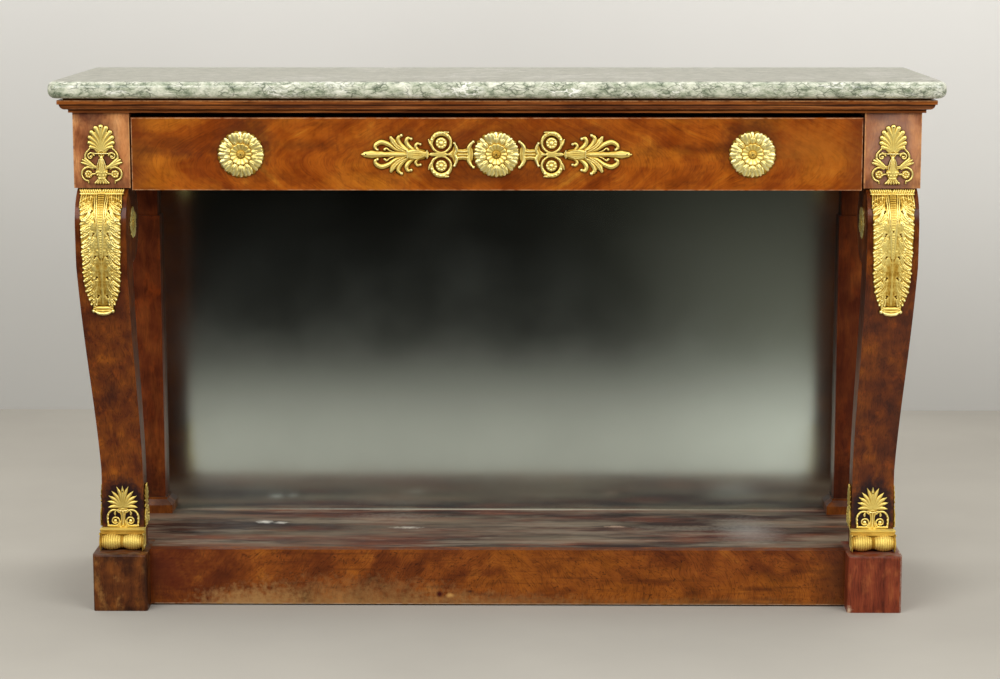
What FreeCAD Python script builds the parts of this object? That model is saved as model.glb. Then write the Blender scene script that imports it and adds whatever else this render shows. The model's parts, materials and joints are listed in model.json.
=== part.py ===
import FreeCAD, Part
import math
import os

# Pier table: marble top, veneered frieze with one drawer, two scroll legs on plinth blocks,
# a low platform and a mirrored back between two pilasters, with cast gilt mounts.
# Millimetres. +Z up, front towards -Y, origin on the floor under the middle of the whole table.

V = FreeCAD.Vector

# Overall sizes
table_height = 915.0
marble_width = 1496.0
marble_depth = 447.0
marble_thickness = 29.0
marble_front_overhang = 37.0
marble_side_overhang = 37.0
marble_back_overhang = 10.0
marble_corner_radius = 20.0
marble_edge_radius = 12.0

# Frieze carcase
frieze_height = 152.0
corner_block_width = 95.0
corner_block_depth = 130.0
frieze_side_thickness = 22.0
back_rail_thickness = 26.0
back_rail_lip = 34.0
top_rail_depth = 60.0
bottom_rail_thickness = 12.0

# Cornice moulding, planted on the top of the frieze
cornice_height = 25.0
cornice_projection = 22.0
cornice_top_fillet = 7.0
cornice_rebate_height = 3.5
cornice_rebate_depth = 9.0
cornice_fillet_step = 3.0
cornice_step_projection = 9.0
cornice_foot_projection = 6.0
cornice_foot_height = 5.5

# Drawer
drawer_side_clearance = 2.5
drawer_front_thickness = 24.0
drawer_front_drop = 4.0
drawer_front_edge_radius = 1.5
drawer_top_gap = 8.5
drawer_front_to_rail = 2.0
drawer_side_thickness = 12.0
drawer_side_step = 2.5
drawer_back_thickness = 12.0
drawer_back_step = 4.0
drawer_bottom_thickness = 8.0
drawer_bottom_lift = 4.0
drawer_groove_depth = 5.0
drawer_running_clearance = 0.3
drawer_end_clearance = 0.3
runner_inset = 22.0
guide_width = 20.0
guide_height = 30.0
stop_width = 40.0
stop_depth = 34.0
stop_height = 40.0
stop_spacing = 600.0
stop_lift = 40.0

# Scroll legs: a round volute under the corner block, then a tapering strap that sweeps back to the foot
leg_top_width = 86.0
leg_foot_width = 72.0
volute_radius = 68.0
volute_drop = 62.0
volute_front = 30.0
volute_tail_angle = -95.0
leg_foot_front = 51.0
leg_foot_depth = 38.0
leg_foot_straight = 115.0
leg_taper_foot = 140.0
leg_shoulder_pull = 222.0
leg_ankle_pull = 155.0
leg_back_shoulder_pull = 135.0
leg_back_ankle_pull = 205.0
dowel_radius = 5.0
dowel_length = 50.0
dowel_spacing = 36.0

# Plinth and platform
plinth_side_inset = 14.0
plinth_height = 100.0
plinth_block_width = 93.0
plinth_block_depth = 110.0
plinth_block_edge_radius = 4.5
plinth_rail_setback = 40.0
plinth_rail_thickness = 22.0
plinth_rail_floor_gap = 3.0
plinth_side_thickness = 20.0
platform_thickness = 18.0
glue_block_size = 30.0
glue_block_length = 60.0
glue_block_end_inset = 84.0
glue_block_count = 5

# Mirror and pilasters
mirror_thickness = 5.0
mirror_rebate = 10.0
backboard_thickness = 14.0
pilaster_width = 80.0
pilaster_front_lead = 25.0
pilaster_neck_height = 83.0
pilaster_neck_recess = 4.0
pilaster_base_projection = 14.0
pilaster_base_height = 28.0
pilaster_base_block_height = 15.0
pilaster_base_band_height = 4.0
pilaster_base_band_projection = 3.0

# Gilt mounts
mount_gap = 0.2
rosette_radius = 40.0
rosette_thickness = 8.0
rosette_petals = 16
rosette_inset = 184.5
rosette_height_on_drawer = 61.0
mount_thickness = 5.0
mount_field_share = 0.6
mount_scroll_share = 0.8
palmette_root_share = 0.44
frieze_palmette_pin_share = 0.25
centre_mount_half_length = 232.0
centre_mount_spray_root = 119.0
centre_mount_leaf_width = 16.0
centre_mount_side_leaf = 81.0
centre_roundel_offset = 96.7
centre_roundel_radius = 20.8
centre_roundel_rise = 20.3
frieze_palmette_width = 70.0
frieze_palmette_height = 102.0
frieze_palmette_lift = 6.5
acanthus_thickness = 5.0
acanthus_width = 75.0
acanthus_tip_width = 41.0
acanthus_length = 211.0
acanthus_top_gap = 2.0
acanthus_shoulder = 150.0
acanthus_bead_radius = 5.5
acanthus_lip_radius = 7.0
volute_rosette_radius = 28.0
volute_rosette_thickness = 4.0
toe_roll_radius = 14.5
toe_end_disc_thickness = 3.0
toe_neck_radius = 9.0
toe_neck_width = 3.0
toe_barrel_bulge = 2.0
toe_band_height = 8.0
toe_band_depth = 18.0
toe_plate_thickness = 2.5
toe_plate_height = 38.0
toe_plate_depth = 46.0
toe_palmette_width = 57.0
toe_palmette_height = 74.0
toe_palmette_thickness = 4.0
side_palmette_width = 34.0
pin_radius = 1.5
pin_in_wood = 12.0
pin_clearance = 0.1

# Levels and planes that several pieces share
frieze_face = -marble_depth / 2 + marble_front_overhang
case_back = marble_depth / 2 - marble_back_overhang
marble_bottom = table_height - marble_thickness
frieze_bottom = marble_bottom - frieze_height
frieze_half = marble_width / 2 - marble_side_overhang
block_inner = frieze_half - corner_block_width
block_back = frieze_face + corner_block_depth
side_inner = frieze_half - frieze_side_thickness
back_rail_front = case_back - back_rail_thickness
cornice_bottom = marble_bottom - cornice_height
runner_top = frieze_bottom + bottom_rail_thickness
drawer_half = block_inner - drawer_side_clearance
drawer_top = cornice_bottom - drawer_top_gap
rosette_offset = drawer_half - rosette_inset
drawer_low = frieze_bottom - drawer_front_drop
drawer_back_face = frieze_face + drawer_front_thickness
drawer_end = back_rail_front - stop_depth
runner_inner = block_inner - runner_inset
plinth_half = frieze_half - plinth_side_inset
plinth_block_inner = plinth_half - plinth_block_width
plinth_block_back = frieze_face + plinth_block_depth
plinth_rail_front_y = frieze_face + plinth_rail_setback
plinth_rail_back_y = plinth_rail_front_y + plinth_rail_thickness
plinth_side_inner = plinth_half - plinth_side_thickness
platform_bottom = plinth_height - platform_thickness
mirror_back = back_rail_front - backboard_thickness
mirror_front = mirror_back - mirror_thickness
pilaster_inner = plinth_half - pilaster_width
pilaster_front = mirror_front - pilaster_front_lead
mirror_half = pilaster_inner + mirror_rebate - mount_gap
leg_top_x = frieze_half - corner_block_width / 2
leg_foot_x = plinth_half - plinth_block_width / 2
volute_y = frieze_face - volute_front + volute_radius
volute_z = frieze_bottom - volute_drop
foot_front_y = frieze_face + leg_foot_front
foot_back_y = foot_front_y + leg_foot_depth
ankle_z = plinth_height + leg_foot_straight

shapes = {}


def box(x0, x1, y0, y1, z0, z1):
    return Part.makeBox(x1 - x0, y1 - y0, z1 - z0, V(x0, y0, z0))


def mirrored(shape):
    return shape.mirror(V(0, 0, 0), V(1, 0, 0))


def pair(name, right):
    shapes[name + "_right"] = right
    shapes[name + "_left"] = mirrored(right)


def polygon_prism(points, direction):
    return Part.Face(Part.makePolygon(points + points[:1])).extrude(direction)


def fused(pieces):
    body = pieces[0].multiFuse(pieces[1:]) if len(pieces) > 1 else pieces[0]
    return body.removeSplitter()


# Marble top: rounded front corners, bullnose edge on the front and the two ends, square back
def marble_top():
    slab = box(-marble_width / 2, marble_width / 2, -marble_depth / 2, marble_depth / 2,
               marble_bottom, table_height)
    front = [e for e in slab.Edges
             if abs(e.Vertexes[0].Z - e.Vertexes[-1].Z) > marble_thickness / 2 and e.CenterOfMass.y < 0]
    slab = slab.makeFillet(marble_corner_radius, front)
    radius = min(marble_edge_radius, 0.45 * marble_thickness)
    middle = (marble_bottom + table_height) / 2
    rim = [e for e in slab.Edges
           if abs(abs(e.CenterOfMass.z - middle) - marble_thickness / 2) < 1e-6
           and e.BoundBox.YMin < marble_depth / 2 - 1e-6]
    return slab.makeFillet(radius, rim)


# Cornice: rebate under the slab, fillet, ovolo, step and foot, mitred at the two front corners
def cornice_outline(place):
    top, low = marble_bottom, cornice_bottom
    step_z = low + cornice_foot_height
    rebate_z = top - cornice_rebate_height
    lip_z = rebate_z - cornice_top_fillet
    ovolo_out = cornice_projection - cornice_fillet_step
    rebate_out = cornice_projection - cornice_rebate_depth
    corners = [place(0, low), place(cornice_foot_projection, low), place(cornice_foot_projection, step_z),
               place(cornice_step_projection, step_z)]
    bend = math.cos(math.pi / 4)
    ovolo_mid = place(cornice_step_projection + (ovolo_out - cornice_step_projection) * bend,
                      lip_z - (lip_z - step_z) * bend)
    lip = [place(ovolo_out, lip_z), place(cornice_projection, lip_z), place(cornice_projection, rebate_z),
           place(rebate_out, rebate_z), place(rebate_out, top), place(0, top), corners[0]]
    edges = [Part.makeLine(a, b) for a, b in zip(corners, corners[1:])]
    edges.append(Part.Arc(corners[-1], ovolo_mid, lip[0]).toShape())
    edges += [Part.makeLine(a, b) for a, b in zip(lip, lip[1:])]
    return Part.Face(Part.Wire(edges))


def cornice_front():
    reach = frieze_half + cornice_projection
    section = cornice_outline(lambda out, z: V(-reach, frieze_face - out, z))
    length = section.extrude(V(2 * reach, 0, 0))
    plan = [V(-frieze_half, frieze_face, cornice_bottom), V(frieze_half, frieze_face, cornice_bottom),
            V(reach, frieze_face - cornice_projection, cornice_bottom),
            V(-reach, frieze_face - cornice_projection, cornice_bottom)]
    return length.common(polygon_prism(plan, V(0, 0, cornice_height)))


def cornice_right():
    front_y = frieze_face - cornice_projection
    section = cornice_outline(lambda out, z: V(frieze_half + out, front_y, z))
    length = section.extrude(V(0, case_back - front_y, 0))
    reach = frieze_half + cornice_projection
    plan = [V(frieze_half, frieze_face, cornice_bottom), V(reach, front_y, cornice_bottom),
            V(reach, case_back, cornice_bottom), V(frieze_half, case_back, cornice_bottom)]
    return length.common(polygon_prism(plan, V(0, 0, cornice_height)))


# Frieze carcase: corner blocks, sides, back rail with a lip for the backboard, rails round the drawer
def frieze():
    pair("frieze_block", box(block_inner, frieze_half, frieze_face, block_back,
                             frieze_bottom, marble_bottom))
    pair("frieze_side", box(side_inner, frieze_half, block_back, case_back,
                            frieze_bottom, marble_bottom))
    rail = box(-side_inner, side_inner, back_rail_front, case_back, frieze_bottom, marble_bottom)
    lip_low = frieze_bottom - back_rail_lip
    lip = box(-mirror_half, mirror_half, back_rail_front, case_back, lip_low, frieze_bottom)
    shapes["frieze_back_rail"] = fused([rail, lip])
    shapes["frieze_top_rail"] = box(-block_inner, block_inner, frieze_face, frieze_face + top_rail_depth,
                                    cornice_bottom, marble_bottom)
    rail_front = drawer_back_face + drawer_front_to_rail
    shapes["frieze_bottom_rail"] = box(-block_inner, block_inner, rail_front, block_back,
                                       frieze_bottom, runner_top)


# Drawer runners, side guides, kickers above the drawer sides and stops on the back rail
def drawer_guides():
    pair("drawer_runner", box(runner_inner, side_inner, block_back, back_rail_front,
                              frieze_bottom, runner_top))
    pair("drawer_guide", box(block_inner, block_inner + guide_width, block_back, back_rail_front,
                             runner_top, runner_top + guide_height))
    pair("drawer_kicker", box(runner_inner, block_inner, frieze_face + top_rail_depth, back_rail_front,
                              cornice_bottom, marble_bottom))
    x0 = stop_spacing / 2 - stop_width / 2
    stop = box(x0, x0 + stop_width, drawer_end + drawer_end_clearance, back_rail_front,
               runner_top + stop_lift, runner_top + stop_lift + stop_height)
    shapes["drawer_stops"] = Part.makeCompound([stop, mirrored(stop)])


# Drawer box: front, two grooved sides, back and a bottom board let into the grooves
def drawer():
    low = runner_top + drawer_running_clearance
    side_top = drawer_top - drawer_side_step
    side_inside = drawer_half - drawer_side_thickness
    floor_low = low + drawer_bottom_lift
    floor_top = floor_low + drawer_bottom_thickness
    front = box(-drawer_half, drawer_half, frieze_face, drawer_back_face, drawer_low, drawer_top)
    worn = [e for e in front.Edges if e.CenterOfMass.y < frieze_face + 1e-6]
    shapes["drawer_front"] = front.makeFillet(drawer_front_edge_radius, worn)
    side = box(side_inside, drawer_half, drawer_back_face, drawer_end, low, side_top)
    groove = box(side_inside, side_inside + drawer_groove_depth, drawer_back_face, drawer_end,
                 floor_low, floor_top)
    pair("drawer_side", side.cut(groove))
    shapes["drawer_back"] = box(-side_inside, side_inside, drawer_end - drawer_back_thickness, drawer_end,
                                floor_top, side_top - drawer_back_step)
    floor_half = side_inside + drawer_groove_depth - drawer_end_clearance
    shapes["drawer_bottom"] = box(-floor_half, floor_half, drawer_back_face, drawer_end,
                                  floor_low, floor_top)


# Front line of a leg below the volute's widest point, moved forward by a given amount
def leg_front_curve(forward):
    curve = Part.BezierCurve()
    curve.setPoles([V(0, volute_y - volute_radius - forward, volute_z),
                    V(0, volute_y - volute_radius - forward, volute_z - leg_shoulder_pull),
                    V(0, foot_front_y - forward, ankle_z + leg_ankle_pull),
                    V(0, foot_front_y - forward, ankle_z)])
    return curve


def leg_front_y(z):
    curve = leg_front_curve(0)
    low, high = 0.0, 1.0
    for step in range(50):
        middle = (low + high) / 2
        if curve.value(middle).z > z:
            low = middle
        else:
            high = middle
    return curve.value(low).y


def volute_point(radius, degrees):
    angle = math.radians(degrees)
    return V(0, volute_y + radius * math.cos(angle), volute_z + radius * math.sin(angle))


def scroll_leg():
    top_angle = math.degrees(math.asin(volute_drop / volute_radius))
    top_back = volute_point(volute_radius, top_angle)
    top_front = volute_point(volute_radius, 180 - top_angle)
    tail = volute_point(volute_radius, volute_tail_angle)
    back = Part.BezierCurve()
    back.setPoles([tail, V(0, tail.y, tail.z - leg_back_shoulder_pull),
                   V(0, foot_back_y, ankle_z + leg_back_ankle_pull - leg_foot_straight / 2),
                   V(0, foot_back_y, ankle_z)])
    front = leg_front_curve(0)
    sole_back = V(0, foot_back_y, plinth_height)
    sole_front = V(0, foot_front_y, plinth_height)
    front_top = volute_point(volute_radius, 180)
    edges = [Part.makeLine(top_front, top_back),
             Part.Arc(top_back, volute_point(volute_radius, 0), tail).toShape(),
             back.toShape(),
             Part.makeLine(back.value(1.0), sole_back),
             Part.makeLine(sole_back, sole_front),
             Part.makeLine(sole_front, front.value(1.0)),
             front.toShape(),
             Part.Arc(front_top, volute_point(volute_radius, 180 - top_angle / 2), top_front).toShape()]
    section = Part.Face(Part.Wire(Part.__sortEdges__(edges)))
    reach = leg_top_x + leg_top_width
    strap = section.extrude(V(reach, 0, 0))
    taper_top = volute_z - volute_radius
    taper_foot = plinth_height + leg_taper_foot
    rows = ((leg_top_x, leg_top_width / 2, frieze_bottom), (leg_top_x, leg_top_width / 2, taper_top),
            (leg_foot_x, leg_foot_width / 2, taper_foot), (leg_foot_x, leg_foot_width / 2, plinth_height))
    right_side = [(x + half, z) for x, half, z in rows]
    left_side = [(x - half, z) for x, half, z in reversed(rows)]
    y0 = volute_y - 2 * volute_radius
    y1 = max(volute_y + 2 * volute_radius, foot_back_y + volute_radius)
    outline = [V(x, y0, z) for x, z in right_side + left_side]
    return strap.common(polygon_prism(outline, V(0, y1 - y0, 0)))


# Dowels that join each leg to the corner block above and the plinth block below
def leg_dowels():
    dowels = []
    seats = ((leg_top_x, volute_y, frieze_bottom, "frieze_block"),
             (leg_foot_x, (foot_front_y + foot_back_y) / 2, plinth_height, "plinth_block"))
    for x, y, z, block in seats:
        for side in (-1, 1):
            at = V(x + side * dowel_spacing / 2, y, z - dowel_length / 2)
            dowels.append(Part.makeCylinder(dowel_radius, dowel_length, at))
            hole = Part.makeCylinder(dowel_radius + pin_clearance, dowel_length + 2 * pin_clearance,
                                     at - V(0, 0, pin_clearance))
            for node in ("scroll_leg_right", block + "_right"):
                shapes[node] = shapes[node].cut(hole)
            for node in ("scroll_leg_left", block + "_left"):
                shapes[node] = shapes[node].cut(mirrored(hole))
    shapes["leg_dowels"] = Part.makeCompound(dowels + [mirrored(d) for d in dowels])


# Plinth: two blocks, front rail set back between them, sides, back rail, platform and glue blocks
def plinth():
    block = box(plinth_block_inner, plinth_half, frieze_face, plinth_block_back, 0, plinth_height)
    worn = [e for e in block.Edges if e.CenterOfMass.y < frieze_face + 1e-6 and e.CenterOfMass.z > 1e-6]
    pair("plinth_block", block.makeFillet(plinth_block_edge_radius, worn))
    shapes["plinth_rail_front"] = box(-plinth_block_inner, plinth_block_inner, plinth_rail_front_y,
                                      plinth_rail_back_y, plinth_rail_floor_gap, plinth_height)
    pair("plinth_side", box(plinth_side_inner, plinth_half, plinth_block_back, case_back, 0, plinth_height))
    shapes["plinth_back_rail"] = box(-plinth_side_inner, plinth_side_inner,
                                     case_back - plinth_rail_thickness, case_back, 0, platform_bottom)
    board = box(-plinth_side_inner, plinth_side_inner, plinth_rail_back_y, case_back,
                platform_bottom, plinth_height)
    notch = box(plinth_block_inner, plinth_half, frieze_face, plinth_block_back, 0, plinth_height)
    shapes["platform_board"] = board.cut(notch).cut(mirrored(notch))
    blocks = []
    reach = plinth_block_inner - glue_block_end_inset
    for index in range(glue_block_count):
        x0 = reach * (2 * index / (glue_block_count - 1) - 1) - glue_block_length / 2
        blocks.append(box(x0, x0 + glue_block_length,
                          plinth_rail_back_y, plinth_rail_back_y + glue_block_size,
                          platform_bottom - glue_block_size, platform_bottom))
    shapes["glue_blocks"] = Part.makeCompound(blocks)


# Pilasters: moulded base, shaft and recessed neck, rebated behind for the mirror and its backboard
def pilasters():
    rebate = box(0, pilaster_inner + mirror_rebate, mirror_front, case_back, 0, table_height)

    def tier(out, z0, z1):
        return box(pilaster_inner - out, plinth_half, pilaster_front - out, case_back, z0, z1).cut(rebate)

    shaft_low = plinth_height + pilaster_base_height
    shaft_top = frieze_bottom - pilaster_neck_height
    pair("pilaster_shaft", tier(0, shaft_low, shaft_top))
    pair("pilaster_neck", tier(-pilaster_neck_recess, shaft_top, frieze_bottom))
    block_top = plinth_height + pilaster_base_block_height
    band_low = shaft_low - pilaster_base_band_height
    block = tier(pilaster_base_projection, plinth_height, block_top)
    band = tier(pilaster_base_band_projection, band_low, shaft_low)
    out, out_top = pilaster_base_projection, pilaster_base_band_projection

    def rim(step, z):
        return Part.makePolygon([V(pilaster_inner - step, pilaster_front - step, z),
                                 V(plinth_half, pilaster_front - step, z), V(plinth_half, case_back, z),
                                 V(pilaster_inner - step, case_back, z),
                                 V(pilaster_inner - step, pilaster_front - step, z)])

    slope = Part.makeLoft([rim(out, block_top), rim(out_top, band_low)], True, True).cut(rebate)
    pair("pilaster_base", fused([block, slope, band]))


# Mirror plate and its backboard, both standing on the platform between the pilasters
def mirror():
    shapes["mirror_glass"] = box(-mirror_half, mirror_half, mirror_front, mirror_back,
                                 plinth_height, frieze_bottom)
    shapes["mirror_backboard"] = box(-mirror_half, mirror_half, mirror_back, back_rail_front,
                                     plinth_height, frieze_bottom)


# Flat pieces that the mounts are built from, standing on the plane y = 0 and rising towards the front
def disc(x, z, radius, thickness):
    return Part.makeCylinder(radius, thickness, V(x, 0, z), V(0, -1, 0))


def ring(x, z, radius, wall, thickness):
    return disc(x, z, radius, thickness).cut(disc(x, z, radius - wall, thickness))


def leaf(x, z, degrees, length, width, thickness):
    angle = math.radians(degrees)
    along = V(math.cos(angle), 0, math.sin(angle))
    across = V(-math.sin(angle), 0, math.cos(angle))
    root = V(x, 0, z)
    tip = root + along * length
    belly = root + along * (0.6 * length)
    upper = Part.Arc(root, belly + across * (width / 2), tip).toShape()
    lower = Part.Arc(tip, belly - across * (width / 2), root).toShape()
    return Part.Face(Part.Wire([upper, lower])).extrude(V(0, -thickness, 0))


def bar(points, thickness):
    return polygon_prism([V(x, 0, z) for x, z in points], V(0, -thickness, 0))


def rosette(radius, thickness, petals):
    petal = math.pi * radius / (petals + math.pi)
    reach = radius - petal
    field = mount_field_share * thickness
    pieces = [disc(0, 0, reach, field), disc(0, 0, radius / 2, thickness)]
    for index in range(petals):
        angle = 2 * math.pi * index / petals
        pieces.append(disc(reach * math.cos(angle), reach * math.sin(angle), petal, field))
    return fused(pieces)


# Anthemion of pointed leaves over a pair of scrolls, standing on its lower edge at the origin
def palmette(width, height, thickness, leaves):
    low = mount_scroll_share * thickness
    root_z = palmette_root_share * height
    leaf_length = height - root_z
    pieces = [disc(0, root_z, 0.14 * width, thickness)]
    for index in range(leaves):
        turn = -105.0 + 210.0 * index / (leaves - 1)
        share = 1 - (1 - width / 2 / leaf_length) * math.sin(math.radians(abs(turn))) ** 2
        pieces.append(leaf(0, root_z, 90 - turn, leaf_length * share, 0.17 * width, thickness))
    scroll = 0.21 * width
    for side in (-1, 1):
        pieces.append(ring(side * (width / 2 - scroll), scroll, scroll, 0.07 * width, low))
        pieces.append(disc(side * 0.26 * width, scroll, 0.1 * width, low))
    waist = 0.1 * width
    pieces.append(bar([(-waist, root_z), (-2 * waist, 0), (2 * waist, 0), (waist, root_z)], thickness))
    pieces.append(bar([(-width / 2 + scroll, 0), (width / 2 - scroll, 0), (width / 2 - scroll, waist),
                       (-width / 2 + scroll, waist)], low))
    return fused(pieces)


# Shell fan on a vase between two pairs of scrolls, standing on its foot at the origin
def frieze_palmette(width, height, thickness):
    low = mount_scroll_share * thickness
    root_z = 0.5 * height
    fan = 0.33 * width
    leaves = 11
    pieces = [disc(0, root_z, 0.12 * width, thickness)]
    for index in range(leaves):
        turn = -100.0 + 200.0 * index / (leaves - 1)
        share = 1 - (1 - fan / (height - root_z)) * math.sin(math.radians(abs(turn))) ** 2
        pieces.append(leaf(0, root_z, 90 - turn, (height - root_z) * share, 0.13 * width, thickness))
    scroll = 0.2 * width
    for side in (-1, 1):
        x = side * (width / 2 - scroll)
        pieces.append(ring(x, scroll + 0.04 * height, scroll, 0.05 * width, low))
        pieces.append(disc(x, scroll + 0.04 * height, 0.11 * width, low))
        pieces.append(bar([(0, 0.1 * height), (x, 0.13 * height), (x, 0.2 * height), (0, 0.2 * height)],
                          low))
        pieces.append(leaf(0, 0.22 * height, 90 - side * 65, 0.47 * width, 0.12 * width, low))
        pieces.append(ring(side * 0.25 * width, 0.45 * height, 0.13 * width, 0.05 * width, low))
    vase = 0.09 * width
    pieces.append(bar([(-vase, 0.5 * height), (-1.8 * vase, 0.3 * height), (-vase, 0.08 * height),
                       (-2.1 * vase, 0), (2.1 * vase, 0), (vase, 0.08 * height), (1.8 * vase, 0.3 * height),
                       (vase, 0.5 * height)], thickness))
    return fused(pieces)


# Long drawer mount: rosette, twin roundels and a spray of leaves to each side
def centre_mount():
    pieces = [rosette(rosette_radius, rosette_thickness, rosette_petals)]
    stem = 0.25 * centre_mount_leaf_width
    for side in (-1, 1):
        root = side * centre_mount_spray_root
        facing = 0 if side > 0 else 180
        pieces.append(bar([(0, -stem), (root, -stem), (root, stem), (0, stem)], mount_thickness))
        x = side * centre_roundel_offset
        for rise in (-1, 1):
            z = rise * centre_roundel_rise
            pieces.append(disc(x, z, centre_roundel_radius, mount_field_share * mount_thickness))
            pieces.append(ring(x, z, centre_roundel_radius, stem, mount_thickness))
        reach = centre_mount_half_length - centre_mount_spray_root
        pieces.append(leaf(root, 0, facing, reach, centre_mount_leaf_width, mount_thickness))
        for share, turn in ((1.0, 21), (0.8, 41), (0.55, 61)):
            for fan in (-turn, turn):
                pieces.append(leaf(root, 0, facing + fan, share * centre_mount_side_leaf,
                                   centre_mount_leaf_width, mount_thickness))
    return fused(pieces)


# Leaf that follows the front of a leg from the block down, with a bead across its top and a rolled tip
def acanthus_mount():
    inner_radius = volute_radius + mount_gap
    outer_radius = inner_radius + acanthus_thickness
    top_z = frieze_bottom - acanthus_top_gap
    start = 180 - math.degrees(math.asin((top_z - volute_z) / outer_radius))
    half_turn = (start + 180) / 2
    inner = leg_front_curve(mount_gap)
    outer = leg_front_curve(mount_gap + acanthus_thickness)
    edges = [Part.Arc(volute_point(inner_radius, start), volute_point(inner_radius, half_turn),
                      volute_point(inner_radius, 180)).toShape(),
             inner.toShape(),
             Part.makeLine(inner.value(1.0), outer.value(1.0)),
             outer.toShape(),
             Part.Arc(volute_point(outer_radius, 180), volute_point(outer_radius, half_turn),
                      volute_point(outer_radius, start)).toShape(),
             Part.makeLine(volute_point(outer_radius, start), volute_point(inner_radius, start))]
    band = Part.Face(Part.Wire(Part.__sortEdges__(edges))).extrude(V(leg_top_x + leg_top_width, 0, 0))
    tip_z = top_z - acanthus_length
    rows = ((top_z, acanthus_width), (top_z - acanthus_shoulder, acanthus_width),
            (tip_z, acanthus_tip_width))
    y0 = volute_y - 2 * volute_radius
    right_side = [V(leg_top_x + width / 2, y0, z) for z, width in rows]
    left_side = [V(leg_top_x - width / 2, y0, z) for z, width in reversed(rows)]
    blade = band.common(polygon_prism(right_side + left_side, V(0, 4 * volute_radius, 0)))
    bead_at = volute_point(outer_radius, start)
    bead_start = V(leg_top_x - acanthus_width / 2, bead_at.y, top_z - acanthus_bead_radius)
    bead = Part.makeCylinder(acanthus_bead_radius, acanthus_width, bead_start, V(1, 0, 0))
    lip_z = tip_z + acanthus_lip_radius
    lip_y = leg_front_y(lip_z) - mount_gap - acanthus_lip_radius
    lip_start = V(leg_top_x - acanthus_tip_width / 2, lip_y, lip_z)
    lip = Part.makeCylinder(acanthus_lip_radius, acanthus_tip_width, lip_start, V(1, 0, 0))
    leg_room = scroll_leg()
    return fused([blade, bead.cut(leg_room), lip.cut(leg_room)])


# Toe mount: two barrel rolls with a tie and end discs, a band above and a plate on each side of the foot
def toe_scroll():
    half = leg_foot_width / 2 + toe_plate_thickness + mount_gap
    barrel_end = half - toe_end_disc_thickness
    low = toe_roll_radius - toe_barrel_bulge
    middle = (toe_neck_width + barrel_end) / 2

    def station(x, radius):
        return V(x, 0, radius)

    right = [Part.makeLine(station(0, toe_neck_radius), station(toe_neck_width, toe_neck_radius)),
             Part.makeLine(station(toe_neck_width, toe_neck_radius), station(toe_neck_width, low)),
             Part.Arc(station(toe_neck_width, low), station(middle, toe_roll_radius),
                      station(barrel_end, low)).toShape(),
             Part.makeLine(station(barrel_end, low), station(barrel_end, toe_roll_radius)),
             Part.makeLine(station(barrel_end, toe_roll_radius), station(half, toe_roll_radius)),
             Part.makeLine(station(half, toe_roll_radius), station(half, 0)),
             Part.makeLine(station(half, 0), station(0, 0)),
             Part.makeLine(station(0, 0), station(0, toe_neck_radius))]
    half_roll = Part.Face(Part.Wire(right)).revolve(V(0, 0, 0), V(1, 0, 0), 360)
    roll_y = foot_front_y - mount_gap - toe_roll_radius
    roll_z = plinth_height + mount_gap + toe_roll_radius
    roll = fused([half_roll, mirrored(half_roll)])
    roll.translate(V(leg_foot_x, roll_y, roll_z))
    band_low = plinth_height + 2 * toe_roll_radius - mount_gap
    band = box(leg_foot_x - half, leg_foot_x + half, foot_front_y - toe_band_depth,
               foot_front_y - mount_gap, band_low, band_low + toe_band_height)
    web = box(leg_foot_x - half, leg_foot_x + half, roll_y, foot_front_y - mount_gap, roll_z, band_low)
    pieces = [roll, web, band]
    for side in (-1, 1):
        face = leg_foot_x + side * (leg_foot_width / 2 + mount_gap)
        edge = face + side * toe_plate_thickness
        pieces.append(box(min(face, edge), max(face, edge), roll_y, roll_y + toe_plate_depth,
                          plinth_height + mount_gap, plinth_height + toe_plate_height))
    return fused(pieces)


# A pin through a mount into the piece behind it: the hole is cut in both, and the pin joins its group
def pinned(group, mount, wood, head, direction, mount_depth):
    length = mount_depth + pin_in_wood
    group.append(Part.makeCylinder(pin_radius, length, head, direction))
    start = head - direction * pin_clearance
    hole = Part.makeCylinder(pin_radius + pin_clearance, length + 2 * pin_clearance, start, direction)
    shapes[mount] = shapes[mount].cut(hole)
    shapes[wood] = shapes[wood].cut(hole)


def set_on_front(shape, x, y, z):
    placed = shape.copy()
    placed.translate(V(x, y - mount_gap, z))
    return placed


# Turns a front-facing mount to face +X or -X and stands it at the given point
def set_on_side(shape, side, x, y, z):
    placed = shape.copy()
    placed.rotate(V(0, 0, 0), V(0, 0, 1), 90 * side)
    placed.translate(V(x + side * mount_gap, y, z))
    return placed


def drawer_mounts():
    z = drawer_low + rosette_height_on_drawer
    pair("drawer_rosette", set_on_front(rosette(rosette_radius, rosette_thickness, rosette_petals),
                                        rosette_offset, frieze_face, z))
    shapes["drawer_centre_mount"] = set_on_front(centre_mount(), 0, frieze_face, z)
    pins = []
    back = V(0, 1, 0)
    head_y = frieze_face - mount_gap
    for side, node in ((-1, "drawer_rosette_left"), (1, "drawer_rosette_right")):
        pinned(pins, node, "drawer_front", V(side * rosette_offset, head_y - rosette_thickness, z), back,
               rosette_thickness)
    pinned(pins, "drawer_centre_mount", "drawer_front", V(0, head_y - rosette_thickness, z), back,
           rosette_thickness)
    for side in (-1, 1):
        at = V(side * (centre_mount_spray_root + centre_mount_leaf_width), head_y - mount_thickness, z)
        pinned(pins, "drawer_centre_mount", "drawer_front", at, back, mount_thickness)
    shapes["drawer_mount_pins"] = Part.makeCompound(pins)


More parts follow.
